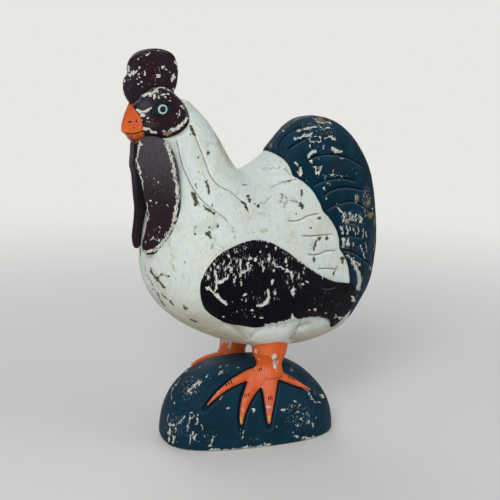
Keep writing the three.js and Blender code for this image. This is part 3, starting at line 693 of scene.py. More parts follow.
def beak_skin():
    def half_at(share, x):
        forward = np.clip((BEAK_CENTRE[0] - x) / 11, 0, 1)
        return BEAK_THICK / 2 * (1 - 0.35 * forward) * np.sqrt(1 - 0.8 * share**2)
    return board(BEAK, 140, BEAK_CENTRE, np.sin(np.linspace(0.04, 1, 18) * math.pi / 2), half_at)


# The wattles, with outlines that run forwards from the back edge
WATTLE = (
    -41, 226, -30, 229, -18, 227, -9, 218, -4, 206, -1.5, 192, 0, 176, 0, 162, -2, 150, -6, 138, -12, 128,
    -20, 119.5, -29, 114.5, -36, 115, -38.5, 122, -36, 132, -33.5, 144, -33, 156, -36, 170, -39, 184, -42,
    194, -46, 200, -44.5, 212,
)
WATTLE_CENTRE = (-20, 169)
WATTLE_PLACE = (-97.0, -BODY_HALF * 0.55)
WATTLE_TURN = math.radians(-45.0)
WATTLE_THICK, WATTLE_RIM, WATTLE_INSET = 7.0, 5.0, 1.5


def wattle_skin(grow=0.0, open_=0.0):
    loop = grown(smooth_loop(WATTLE, 220), grow)

    def ring(share, depth):
        return np.insert(WATTLE_CENTRE + (loop - WATTLE_CENTRE) * share, 1, depth, axis=1)
    rings = []
    for share in shares_out(0.86, 14, 0.89, 6):
        crown = (WATTLE_THICK - WATTLE_RIM) * math.sqrt(1 - share**2)
        fall = 1.6 * ease(share, 0.86, 1.0) ** 2
        rings.append(ring(share, -(WATTLE_RIM - WATTLE_INSET + crown - fall + grow + open_)))
    rings += [ring(share, WATTLE_INSET + grow) for share in (1, 0.97, 0.6, 0.1)]
    points, faces = skin(rings)
    x, y = turned(points[:, 0], points[:, 1], WATTLE_TURN)
    return np.stack([x + WATTLE_PLACE[0], y + WATTLE_PLACE[1], points[:, 2] + BELLY], axis=1), faces


# The wings: boards that follow the flank, round a spine
WING = (
    -86, 92, -85, 99, -82, 108, -75, 117, -64, 125, -49, 131, -33, 133, -17, 131, 1, 122, 17, 111, 31, 101,
    50, 89, 68, 80, 87, 75, 99, 71.5, 105, 64, 104, 53, 98, 42, 88, 33, 75.5, 26.5, 68, 37.5, 50, 45, 26,
    47, 4, 46, -13, 46, -28, 45, -41, 48, -55, 51, -68, 58, -79, 68, -84, 80,
)
WING_SPINE = ((0, 86), (58, 70))
WING_THICK, WING_PROUD, WING_RIM_PROUD = 12.0, 5.0, 4.0
WING_TIP_OUT, WING_TIP_X, WING_TIP_FLARE = 43.0, 70.0, 0.12
WING_TOP_PROUD, WING_TOP_RIM_PROUD = 3.6, 1.6
WING_WAIST = ((-86, -20, 40, 103), (84, 100, 80, 62))


def spine_feet(loop):
    start, end = (np.array(p, float) for p in WING_SPINE)
    along = end - start
    share = np.clip((loop - start) @ along / (along @ along), 0, 1)
    return start + share[:, None] * along


def flank(tree, flat):
    """How far the body stands out to the left at places of the side view."""
    found = []
    for x, z in flat:
        hit = tree.ray_cast(Vector((x * MM, -2 * BODY_HALF * MM, (z + BELLY) * MM)), Vector((0, 1, 0)))[0]
        found.append(0.0 if hit is None else -hit[1] / MM)
    return np.array(found)


def wing_out(tree, share, flat):
    """How far a wing's outer face stands out: a plump lower half, and a top nearly flush."""
    around_it = np.array([(0, 0), (6, 0), (-6, 0), (0, 6), (0, -6)])
    near = np.mean([flank(tree, flat + step) for step in around_it], axis=0)
    rise = flat[:, 1] - np.interp(flat[:, 0], *WING_WAIST)
    low = 1 - ease(rise, -14, 24)
    rim = share**3
    lower = WING_PROUD + (WING_RIM_PROUD - WING_PROUD) * rim
    upper = WING_TOP_PROUD * (1 - rim) + WING_TOP_RIM_PROUD * rim
    tip = WING_TIP_OUT + np.maximum(WING_TIP_X - flat[:, 0], 0) * WING_TIP_FLARE
    return np.maximum(near + (lower * low + upper * (1 - low)), tip)


def wing_skin(tree, grow=0.0, open_=0.0):
    loop = smooth_loop(WING, 240)
    feet = spine_feet(loop)
    wide = grown(loop, grow)

    def ring(share, shift):
        out = wing_out(tree, share, feet + (loop - feet) * share)
        return np.insert(feet + (wide - feet) * share, 1, shift - out, axis=1)
    rings = [ring(s, -grow - open_) for s in (0.05, 0.2, 0.35, 0.5, 0.65, 0.76, 0.86, 0.93)]
    rings += [ring(s, 1.6 * ease(s, 0.94, 1.0) - grow - open_) for s in (0.965, 0.985, 1)]
    rings += [ring(s, WING_THICK + 2 * grow) for s in (1, 0.97, 0.65, 0.35, 0.05)]
    points, faces = skin(rings)
    return points + [0, 0, BELLY], faces


# The eyes
EYE_X, EYE_Z = -108.5, 254.0
EYE_STEM = 5.0


def eye_skin():
    knots = [
        (0.01, -EYE_STEM), (2.2, -EYE_STEM), (2.2, -0.8), (4.4, -0.8), (4.5, 0.5), (4.3, 1.1), (3.8, 1.35),
        (3.3, 1.1), (2.9, 0.9), (2.0, 1.35), (1.0, 1.6), (0.01, 1.7),
    ]
    points, faces = lathe(even(np.array(knots), 60, False), (0, 0), 48)
    out = -points[:, 2] - head_half(0.2, EYE_X)
    return np.stack([points[:, 0] + EYE_X, out, points[:, 1] + EYE_Z + BELLY], axis=1), faces


# Chips and marks: where they fall in the photograph, with a length, a width and an angle in
# degrees, positive down to the right. The far side carries the same kind of wear, turned round.

# A chip's level at its middle, the power that rounds its corners, and the least sizes that show
CHIP_LEVEL, CHIP_POWER = 1.6, 1.4
LEAST_REACH, LEAST_STRIP = 1.2, 0.55


def facing(points, normals):
    """How far faces turn towards the camera's place, from -1 to 1."""
    to_eye = EYE - points
    to_eye /= np.linalg.norm(to_eye, axis=1, keepdims=True)
    return np.sum(normals * to_eye, axis=1)


def warped(pixels):
    """Pixels pushed about a little, so that no chip has a plain outline."""
    return pixels + jostle(np.insert(pixels, 2, 0, axis=1), 1.1, 2)


def mark_values(pixels, chips, strips=(), crisp=False):
    """How strongly marks show at pixels. A chip has a length, a width and perhaps an angle, and a
    level too where only flecks break through. A strip has a width and the points of its middle."""
    best = np.zeros(len(pixels))
    if not crisp:
        pixels = warped(pixels)
    for row in chips:
        x, y, long, wide, angle, level = (*row, 0, 0)[:6]
        close = np.flatnonzero(np.max(np.abs(pixels - [x, y]), axis=1) < max(long, wide, LEAST_REACH))
        away = pixels[close] - [x, y]
        turn = math.radians(angle)
        u = np.abs(away @ [math.cos(turn), math.sin(turn)]) / max(long / 2, LEAST_REACH / 2)
        v = np.abs(away @ [-math.sin(turn), math.cos(turn)]) / max(wide / 2, LEAST_REACH / 2)
        if level:
            found = level * (1 - ease(np.hypot(u, v), 0.4, 1.25))
        else:
            found = CHIP_LEVEL - (u**CHIP_POWER + v**CHIP_POWER) ** (1 / CHIP_POWER)
        best[close] = np.maximum(best[close], found)
    for width, *line in strips:
        curve = hermite(line)
        reach = max(width, LEAST_REACH)
        inside = (pixels > curve.min(0) - reach) & (pixels < curve.max(0) + reach)
        close = np.flatnonzero(np.all(inside, axis=1))
        if len(close):
            away = np.linalg.norm(pixels[close][:, None] - curve[None], axis=2).min(1)
            best[close] = np.maximum(best[close], CHIP_LEVEL - away / max(width / 2, LEAST_STRIP))
    return best


def spots(*rows):
    """Round chips, from their places and sizes."""
    return [(x, y, 1.8 * size, 1.8 * size) for x, y, size in rows]


def outside_values(pixels, line):
    """Above zero on the right-hand side of a line through pixels, walked from its start."""
    curve = even(hermite(line, per=8), 120, False)
    steps = np.gradient(curve, axis=0)
    away = warped(pixels)[:, None] - curve[None]
    index = np.argmin(np.sum(away**2, axis=2), axis=1)
    near = away[np.arange(len(pixels)), index]
    along = steps[index] / np.linalg.norm(steps[index], axis=1, keepdims=True)
    return along[:, 1] * near[:, 0] - along[:, 0] * near[:, 1]


def marked(piece, name, chips=(), strips=(), shift=(0, 0, 0), flip=True, outside=(), sides=(1, -1),
           limit=1, crisp=False):
    """Writes marks into an attribute, on both sides of a piece, up to a limit in y."""
    points, normals = points_of(piece) + shift, normals_of(piece)
    centre = None
    total = np.zeros(len(points))
    for side in sides:
        p = points * [1, side, 1]
        near_half = p[:, 1] < (limit if side > 0 else 0.01)
        seen = (facing(p, normals * [1, side, 1]) > 0.02) & near_half
        if not seen.any():
            continue
        pixels = to_pixels(p)[seen]
        if centre is None:
            centre = (pixels.min(0) + pixels.max(0)) / 2
        if outside:
            # A worn band beyond the line, which ends just outside the outline
            rim = outside_values(pixels, outside)
            band = np.clip(0.55 + 0.35 * (rim + 1.2), 0, 0.66) * (1 - ease(rim, 2.4, 3.2))
            total[seen] = np.maximum(total[seen], band)
        if side < 0 and flip:
            pixels = pixels * [-1, 1] + [2 * centre[0], 0]
        total[seen] = np.maximum(total[seen], mark_values(pixels, chips, strips, crisp))
    raised(piece, name, total)


def scattered(piece, name, count, sizes, stretch=1.6, faint=0.0):
    """Random chips and faint patches on the parts of a piece that the photograph doesn't show."""
    points, normals = points_of(piece), normals_of(piece)
    hidden = facing(points, normals) < 0.0
    places = np.flatnonzero(hidden & (np.abs(normals[:, 1]) < 0.75))
    values = values_of(piece, name)
    if faint:
        values = np.maximum(values, faint * ease(field(points, 30, 91), 0.0, 0.5) * hidden)
    pushed = points + jostle(points, 1.2, 3)
    for index in rng.choice(places, count if len(places) else 0):
        size = rng.uniform(*sizes) / 2 * rng.choice((0.6, 0.8, 1.6))
        away = np.abs(pushed - points[index])
        close = np.flatnonzero(away.max(1) < size * stretch * 1.6)
        r = np.hypot(np.hypot(away[close, 0], away[close, 1]) / size, away[close, 2] / (size * stretch))
        values[close] = np.maximum(values[close], CHIP_LEVEL - r)
    attribute(piece, name, values)


def refine_chips(piece, chips, strips=(), times=2, crisp=False, level=0.4):
    """Splits the faces round the chips of the photograph."""
    def near(points):
        return (mark_values(to_pixels(points), chips, strips, crisp) > level) & (points[:, 1] < 1)
    for _ in range(times):
        refine(piece, near)


def uneven(piece, amount, size, seed):
    """The slight unevenness of hand carving."""
    points = points_of(piece)
    push_out(piece, amount * (field(points, size, seed) + 0.45 * field(points, size / 2.7, seed + 1)))


def carved(name, part, voxel, smooth, wave=(), cutters=(), rough=1.5):
    """An even and smoothed mesh of a closed skin, less its cutters. The wave is the amount, the size
    and the seed of its unevenness."""
    piece = mesh_object(name, part)
    if cutters:
        remesh(piece, rough)
    for cutter in cutters:
        cut(piece, cutter)
    remesh(piece, voxel)
    relax(piece, smooth)
    if wave:
        uneven(piece, *wave)
    return piece


def twins(kind, part):
    return ("left_" + kind, part), ("right_" + kind, mirrored(part))


def handed_in(piece, node, material):
    """Gives a piece its finish and its body, and hides the CAD solid that it stands for."""
    for name in ("wear", "bare", "grime_and_shade", "lip"):
        attribute(piece, name, values_of(piece, name))
    piece.data.materials.clear()
    piece.data.materials.append(material)
    piece.data.polygons.foreach_set("use_smooth", [True] * len(piece.data.polygons))
    piece.data.update()
    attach(piece, "root")
    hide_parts(node)


def half_of(piece, name, side):
    """One half of the body, cut flat at the glue seam."""
    bm = bmesh.new()
    bm.from_mesh(piece.data)
    bmesh.ops.bisect_plane(
        bm, geom=bm.verts[:] + bm.edges[:] + bm.faces[:], plane_co=((SEAM_X + side * 0.01) * MM, 0, 0),
        plane_no=(1, 0, 0), clear_outer=side < 0, clear_inner=side > 0,
    )
    rim = [e for e in bm.edges if e.is_boundary]
    for edge in rim:
        edge.smooth = False
    bmesh.ops.triangle_fill(bm, use_beauty=False, use_dissolve=False, edges=rim)
    mesh = bpy.data.meshes.new(name)
    bm.to_mesh(mesh)
    bm.free()
    return linked(name, mesh)


# Materials

def srgb(r, g, b):
    """A colour of a screen, in the linear values that the shaders take."""
    linear = [v / 255 / 12.92 if v < 10.3 else ((v / 255 + 0.055) / 1.055) ** 2.4 for v in (r, g, b)]
    return (*linear, 1.0)


PRIMER = srgb(216, 218, 212)
PRIMER_SHADE = srgb(192, 190, 180)
WOOD_PALE = srgb(156, 136, 110)
WOOD_DARK = srgb(102, 84, 64)
SPECK = srgb(104, 92, 70)
PALE_ROOM = srgb(232, 231, 228)


class Graph:
    """The nodes of a material or a world, added one by one and laid out in rows."""

    def __init__(self, owner):
        owner.use_nodes = True
        self.owner = owner
        self.nodes, self.links = owner.node_tree.nodes, owner.node_tree.links
        self.nodes.clear()

    def add(self, kind, inputs=(), **settings):
        node = self.nodes.new("ShaderNode" + kind)
        count = len(self.nodes)
        node.location = (200 * (count % 8), -260 * (count // 8))
        for key, value in settings.items():
            setattr(node, key, value)
        for key, value in dict(inputs).items():
            if isinstance(value, bpy.types.NodeSocket):
                self.links.new(value, node.inputs[key])
            else:
                node.inputs[key].default_value = value
        return node

    def noise(self, sizes, detail=3.0, shift=0.0, roughness=0.5):
        """Noise from 0 to 1, whose features have these sizes in millimetres along x, y and z."""
        scale = tuple(1000.0 / size for size in sizes)
        place = self.add("Mapping", {"Vector": self.place, "Scale": scale, "Location": (shift,) * 3})
        inputs = {"Vector": place.outputs[0], "Scale": 1.0, "Detail": detail, "Roughness": roughness}
        return self.add("TexNoise", inputs).outputs[0]

    def patches(self, sizes, low, high, detail, shift, start=0.0, end=1.0, roughness=0.5):
        """Noise that rises smoothly from start to end, where it goes from low to high."""
        return self.step(self.noise(sizes, detail, shift, roughness), low, high, start, end)

    def value(self, name):
        return self.add("Attribute", attribute_name=name).outputs["Fac"]

    def cracks(self, size, shift):
        """Thin broken lines round cells of this size in millimetres, from 0 to 1."""
        wobble = self.add("TexNoise", {"Vector": self.place, "Scale": 2200.0 / size, "Detail": 3.0})
        inputs = {0: wobble.outputs["Color"], 1: (0.7 * size * MM,) * 3, 2: self.place}
        moved = self.add("VectorMath", inputs, operation="MULTIPLY_ADD")
        inputs = {"Vector": moved.outputs[0], "Scale": 1000.0 / size}
        edge = self.add("TexVoronoi", inputs, feature="DISTANCE_TO_EDGE").outputs["Distance"]
        broken = self.patches((size * 1.3,) * 3, 0.5, 0.6, 2, shift)
        return self.times(self.step(edge, 0.005, 0.03, 1, 0), broken)

    def sum(self, operation, a, b, clamp=False):
        return self.add("Math", {0: a, 1: b}, operation=operation, use_clamp=clamp).outputs[0]

    def plus(self, a, b, clamp=False):
        return self.sum("ADD", a, b, clamp)

    def times(self, a, b):
        return self.sum("MULTIPLY", a, b)

    def step(self, value, low, high, start=0.0, end=1.0):
        inputs = {"Value": value, "From Min": low, "From Max": high, "To Min": start, "To Max": end}
        return self.add("MapRange", inputs, interpolation_type="SMOOTHSTEP").outputs[0]

    def mix(self, share, a, b):
        return self.add("Mix", {0: share, 6: a, 7: b}, data_type="RGBA").outputs[2]

    def over(self, share, colour):
        """Lays a share of a colour over the colour so far."""
        self.colour = self.mix(share, self.colour, colour)

    def output(self, shader, kind="OutputMaterial"):
        self.add(kind, {"Surface": shader.outputs[0]})
        return self.owner

    def finished(self, rough, height, distance, shine=0.5):
        """The material, from its colour, its roughness and its height."""
        bump = self.add("Bump", {"Height": height, "Distance": distance, "Strength": 1.0})
        inputs = {"Base Color": self.colour, "Roughness": rough, "Normal": bump.outputs[0]}
        return self.output(self.add("BsdfPrincipled", {**inputs, "Specular IOR Level": shine}))


def material_graph(name):
    g = Graph(bpy.data.materials.new(name))
    g.place = g.add("TexCoord").outputs["Object"]
    return g


def shaded(colour, factor):
    return tuple(min(c * factor, 1.0) for c in colour[:3]) + (1.0,)


def painted(name, coats, tints=(), variety=0.14, gloss=0.48, grime_and_shade=srgb(16, 14, 14), grime_and_shade_share=0.75,
            specks=0.0, flecks=(1.2, 1.2, 2.0), streaks=(1.6, 1.6, 14), streak=0.3, hammer=0.3,
            wood=(WOOD_DARK, WOOD_PALE), lip=None, aged=(), shine=0.16):
    """A coat of paint over white primer over wood: chips, brush marks, painted highlights, dirt and painted
    shade in grooves.
    """
    g = material_graph(name)
    main, warm, cool = coats
    brush, fine = g.noise(streaks, 4, 8.7, 0.6), g.noise(flecks, 3, 5.3, 0.65)

    def ragged(mark, share):
        return g.plus(g.value(mark), g.times(g.sum("SUBTRACT", fine, 0.5), share))
    g.colour = main
    g.over(g.patches((26, 26, 34), 0.38, 0.66, 4, 3.1), warm)
    g.over(g.patches((17, 17, 24), 0.42, 0.7, 4, 23.4, 0, 0.8), cool)
    g.over(g.step(brush, 0.5, 0.74, 0, streak), shaded(main, 1 - 2.2 * variety))
    g.over(g.step(brush, 0.5, 0.28, 0, streak), shaded(main, 1 + 2 * variety))
    g.over(g.patches((2.4, 2.4, 3.4), 0.46, 0.74, 4, 31.0, 0, 0.5), shaded(warm, 1 - 1.5 * variety))
    for mark, tint, softness in tints:
        brushed = g.mix(g.step(brush, 0.35, 0.7), shaded(tint, 0.8), shaded(tint, 1.15))
        g.over(g.step(ragged(mark, 0.35), 0.5, 0.5 + softness), brushed)
    # Painted highlight: the lip colour is laid where the lip attribute is written.
    if lip:
        g.over(g.times(g.value("lip"), 0.8), lip)
    if aged:
        pale, yellow, grey = aged
        g.over(g.patches((4, 4, 7), 0.5, 0.72, 5, 41.0, 0, 0.5, 0.65), pale)
        g.over(g.patches((30, 30, 44), 0.56, 0.74, 4, 51.0, 0, 0.5, 0.6), yellow)
        g.over(g.patches((0.9, 0.9, 16), 0.56, 0.74, 4, 61.0, 0, 0.5, 0.65), pale)
        scratches = g.patches((1.0, 1.0, 9), 0.62, 0.72, 3, 71.0, 0, 0.8, 0.6)
        g.over(g.times(scratches, g.patches((22, 22, 30), 0.5, 0.64, 3, 81.0)), grey)
        g.over(g.times(g.cracks(30.0, 9.0), 0.28), grey)
        g.over(g.step(g.value("bare"), 0.0, 0.9, 0, 0.55), grey)
    # Dirt, and painted shade in grooves, creases and toe beds, darken the coat here.
    dirt_and_shade = g.times(g.value("grime_and_shade"), g.patches((5, 5, 5), 0.25, 0.65, 3, 1.3, 0.45))
    g.over(g.times(dirt_and_shade, grime_and_shade_share), grime_and_shade)
    if specks:
        dots = g.patches((1.4, 1.4, 2.4), 0.68, 0.73, 2, 12.1)
        rare = g.patches((16, 16, 16), 0.52, 0.64, 2, 15.1)
        g.over(g.times(g.times(dots, rare), specks), SPECK)
    wear, bare = (g.step(ragged(mark, 1.6), 0.5, 0.6) for mark in ("wear", "bare"))
    g.over(wear, g.mix(g.patches((3, 3, 4), 0.35, 0.68, 3, 7.7), PRIMER_SHADE, PRIMER))
    g.over(bare, g.mix(g.patches((1.2, 1.2, 14), 0.3, 0.7, 4, 2.2, roughness=0.6), *wood))
    worn = g.sum("MAXIMUM", wear, bare)
    sheen = g.patches((9, 9, 12), 0.3, 0.7, 4, 4.4, gloss - 0.06, gloss + 0.08)
    cuts = g.times(g.noise((6, 6, 9), 3, 6.6), hammer)
    height = g.plus(g.plus(g.times(worn, -0.25), g.times(brush, 0.22)), cuts)
    return g.finished(g.plus(sheen, g.times(worn, 0.8 - gloss), True), height, MM, shine)


def plain_wood(name):
    """The wood of the dowels and pegs."""
    g = material_graph(name)
    grain = g.noise((1.1, 1.1, 1.1), 5, 2.0, 0.6)
    g.colour = g.mix(g.step(grain, 0.3, 0.7), srgb(150, 112, 70), srgb(205, 170, 122))
    g.over(g.patches((9, 9, 9), 0.4, 0.8, 3, 5.0, 0, 0.4), srgb(128, 92, 58))
    return g.finished(g.step(grain, 0.2, 0.8, 0.6, 0.75), grain, 0.2 * MM)


CREAM = (srgb(216, 224, 216), srgb(213, 218, 204), srgb(210, 225, 226))
PLUM = (srgb(34, 22, 30), srgb(42, 20, 28), srgb(38, 34, 42))
BLUE = (srgb(0, 40, 58), srgb(0, 36, 46), srgb(0, 50, 72))
BLACK = (srgb(7, 9, 17), srgb(13, 10, 15), srgb(10, 14, 26))
ORANGE = (srgb(214, 86, 16), srgb(224, 112, 76), srgb(232, 112, 26))
PALE_EYE = (srgb(190, 215, 215), srgb(200, 215, 205), srgb(180, 210, 215))
TEAL = srgb(11, 44, 52)
INK = srgb(20, 17, 20)
# A grey for painted sheen and painted highlights.
SHEEN_GREY = srgb(84, 80, 84)
RUST = srgb(40, 30, 32)
LIT_BLUE = srgb(66, 88, 102)
AGED = (srgb(182, 190, 182), srgb(208, 207, 188), srgb(116, 116, 106))
DARK_WOOD = (srgb(54, 52, 44), srgb(104, 98, 82))
ROSE = srgb(228, 120, 94)
STROKE_INK = srgb(34, 26, 30)
PALE_TIPS = srgb(232, 176, 96)

# Cream: the underside tint is painted shade, a darker warm cream on faces that turn down; the lip colour is
# a painted highlight.
cream_paint = painted(
    "cream_paint", CREAM, [("underside_shade", srgb(184, 174, 152), 0.9), ("stain", srgb(186, 186, 156), 0.9)],
    variety=0.06, gloss=0.5, grime_and_shade=srgb(118, 112, 92), grime_and_shade_share=0.8, specks=0.8, hammer=0.6,
    streaks=(2.2, 2.2, 22), streak=0.55, wood=DARK_WOOD, lip=srgb(244, 247, 240), aged=AGED,
)
# Plum: the rim tint is a painted grey sheen on rims and lit faces; the almond and the ink are paint.
plum_paint = painted(
    "plum_paint", PLUM, [("almond", TEAL, 0.1), ("rim", SHEEN_GREY, 0.4), ("ink", INK, 0.15)], shine=0.12,
)
# The lip colours of the blue, mound and black paints are painted highlights.
blue_paint = painted(
    "blue_paint", BLUE, [("thin", RUST, 0.6)], flecks=(1.0, 1.0, 2.2), lip=LIT_BLUE, shine=0.06,
)
mound_paint = painted("mound_paint", BLUE, streak=0.4, lip=LIT_BLUE, shine=0.06)
black_paint = painted(
    "black_paint", BLACK, [("thin", RUST, 0.6)], flecks=(1.2, 1.2, 7.0), lip=SHEEN_GREY, shine=0.06,
)
orange_paint = painted(
    "orange_paint", ORANGE,
    [("rosy", ROSE, 0.5), ("stroke", STROKE_INK, 0.12), ("tips", PALE_TIPS, 0.5)],
    variety=0.1, gloss=0.34, grime_and_shade=srgb(70, 30, 20), grime_and_shade_share=0.85, shine=0.14,
)
eye_paint = painted("eye_paint", PALE_EYE, [("pupil", srgb(10, 40, 46), 0.1)], variety=0.06, hammer=0.05)
dowel_wood = plain_wood("dowel_wood")


# The carved lines and the chips, read off the photograph

NECK_LINES = [
    (175, 138, 178, 148, 180, 158, 183, 168, 188, 179, 192, 187, 197, 194, 203, 201, 210, 207, 220, 214,
     227, 220, 230, 225),
    (194, 130, 197, 140, 202, 152, 206, 163, 210, 174, 214, 180, 220, 186, 230, 191, 240, 199, 247, 207,
     251, 216),
]
SADDLE_LINES = [
    (278, 184, 284, 181.5, 296, 179.5), (285, 219, 293, 221, 300, 220, 308, 216, 322, 213),
    (300, 235.5, 310, 236, 335, 234), (306, 254, 313, 255, 320, 254, 327, 251, 338, 251),
    (316, 269.5, 325, 268.5, 340, 270),
]
THIGH_CREASES = [
    (222, 321, 232, 327, 240, 334, 248, 342), (249, 341, 256, 333, 264, 327, 274, 322),
    (290, 346, 292, 336, 300, 328, 312, 324),
]
BREAST_CRACKS = [
    (151, 270, 157, 277, 165, 288), (183, 305, 188, 309), (186, 317, 200, 323), (165, 274, 171, 277),
]
TAIL_LINES = [
    (276, 150, 280, 142, 288, 133, 300, 126.5, 312, 125.5), (286, 151, 295, 144, 308, 137),
    (308, 160, 316, 156, 328, 154, 340, 155, 352, 159, 366, 168),
    (312, 187, 320, 182, 332, 179, 343, 178, 358, 181), (321, 197, 332, 190, 345, 187, 366, 190),
    (325, 211, 335, 205, 345, 202, 355, 201.5, 374, 213), (337, 226, 345, 224, 353, 223, 362, 227),
    (340, 238, 350, 235.5, 366, 238), (340, 250, 350, 251, 360, 256, 370, 264),
    (351, 262, 356, 270, 359, 282, 358, 296),
]
WING_LINES = [(320, 286, 328, 288, 337, 285.5)]
MOUND_LINES = [
    (286, 364, 297, 372, 308, 380, 318, 388, 323, 394, 325, 400.5),
    (303, 387, 312, 393, 318, 399, 324, 402),
]
BEAK_LINES = [(126, 133, 131, 134, 137, 133, 143, 131)]
NOSTRILS = [(130.5, 118.5, 130, 121, 129.5, 124)]

COMB_CHIPS = [
    (148.7, 53.3, 6, 1.2, -35), (133, 72.6, 8, 3.4, -18), (129.4, 75.4, 4, 2.6, 30), (136, 71, 3, 2),
    (144.7, 73, 2.6, 6), (139.6, 67.7, 3, 3), (139.2, 74, 2, 2), (139.8, 77, 1.6, 1.6),
    (159, 75.6, 4.4, 3.6), (156.6, 77.4, 2, 1.6), (163, 66.4, 1.6, 4.6, 25), (166, 68.4, 3, 1.4, 20),
    (170.6, 70.6, 1.6, 2), (174.2, 76.4, 2.6, 7, 8), (177.1, 64.6, 3, 1, 90), (138.1, 58.9, 1.5, 1),
    (158.4, 50.2, 3, 1.2), (122.7, 93.3, 3, 1, 90), (127, 69, 2, 4), (124.4, 80.6, 1.6, 4),
] + spots(
    (139.2, 67.4, 1.5), (123.4, 83.5, 1), (141.7, 82.4, 0.8), (142.7, 87.3, 0.8), (138.1, 84.5, 0.8),
    (136, 79.6, 0.6),
)
HEAD_CHIPS = [
    (142.6, 114.8, 6, 4), (147.5, 117.4, 3, 2), (139.4, 110.4, 3, 2), (154.6, 96.2, 3, 5),
    (150, 95, 5, 3, -15), (163.6, 95, 6, 2.6, 5), (168.4, 94.6, 2, 1.4), (158.4, 97, 1.6, 2),
    (182.2, 106.8, 1.6, 3, 20), (179, 111, 1.2, 3, 10), (184, 108.4, 1.2, 2.6, 20),
    (180.6, 105.4, 1.6, 1.4), (178.6, 113.6, 1.2, 1.6), (164, 131.9, 4, 1.6), (187.6, 118.4, 3, 2, -60),
    (146.4, 129.6, 4, 2, 10), (141.7, 119.4, 1.2, 1.2),
] + spots(
    (166.2, 98.2, 1), (169, 100.6, 1), (164.4, 101, 0.7), (149, 121.4, 0.6), (176.4, 113.3, 0.6),
    (171.4, 97.4, 0.6),
)
HEAD_BARE = [(166.6, 134, 8, 3.6, -10), (170.6, 131.8, 4, 2, -30)]
ALMOND = [(161.6, 110, 20, 13, -15)]
ALMOND_EDGE = [
    (2.2, 150.8, 112.6, 155, 106.4, 162, 102.8, 168.6, 104.6, 173.4, 107.4),
    (1.8, 150.8, 112.6, 156, 115.4, 162.6, 116.4, 169, 112.6, 173.4, 107.4),
]
# A painted sheen along the head's top rim: its width, then its points.
HEAD_RIM_SHEEN = [
    (2.4, 131.5, 105, 139, 100.2, 148.6, 91.6, 157.4, 87.2, 169.4, 90.6, 179, 98.2, 185.6, 108, 187.6, 118),
]
HEAD_STRIPS = [
    (3, 188, 117.6, 183.6, 123.2, 176.8, 128, 169.9, 131.8), (2, 144.2, 127.8, 150.5, 130, 156.2, 133.4),
    (2.2, 137.9, 110, 143.6, 111.8, 151.6, 107.8), (2.4, 143.4, 95.4, 149.3, 93.6, 158, 91),
    (1.8, 156, 89.2, 160.5, 87.6, 165, 88), (2, 169, 89.4, 173, 91, 177, 94),
]
COMB_STRIPS = [
    (1.5, 127, 64.6, 128, 70.4, 125.6, 73.6, 124.2, 77), (1.5, 131, 72.4, 136.4, 71.4),
    (2, 174.4, 74.4, 172.6, 80.8), (1.6, 175.6, 62, 177.6, 65, 178, 69), (1.4, 123, 83, 123.6, 85),
    (1.6, 174, 88.6, 176, 91),
]
# Painted sheen along the comb's bevel and its top edge: widths, then points.
COMB_SHEEN_LINES = [
    (1.1, 136.7, 58.7, 145.4, 54.1, 153, 50.8), (0.9, 146.4, 55.7, 149.7, 52.5),
    (1.4, 130, 58, 137, 53.5, 147, 50.6, 158, 50.2, 167, 53),
]
WATTLE_EDGE = (
    164.3, 140.8, 170, 155, 173.5, 172, 176.5, 190, 177, 203, 175, 213, 172.5, 224, 168, 234, 162, 243.5,
    154, 249.5, 147, 251.5, 142, 252,
)
WATTLE_CHIPS = [
    (155.3, 178, 1.5, 0.6, 90), (157.6, 202.4, 1.8, 1.2, 90), (152.1, 207, 1.5, 1, 90),
    (167.1, 205.1, 2.5, 1, 70), (160.7, 227.3, 3.5, 1, 65), (152.1, 238.7, 5, 1.2, -55),
    (145.3, 242.3, 2, 1.5, 90), (164.3, 235, 2, 1, 90), (159.8, 240.5, 2, 1.5, 90), (137.2, 168.9, 2.5, 2),
    (141.3, 144.5, 3, 1, -60),
] + spots((147.6, 176.6, 0.9), (157.6, 182, 1), (150.3, 202, 0.6), (139, 174.3, 1.5))
WATTLE_STRIPS = [
    (1.4, 140.4, 141, 138.8, 148, 137.4, 158, 137.2, 165),
    (1.5, 137.6, 166, 139.8, 174, 141.8, 181, 143.6, 189), (0.9, 146.3, 203, 148, 212, 148.4, 222),
]
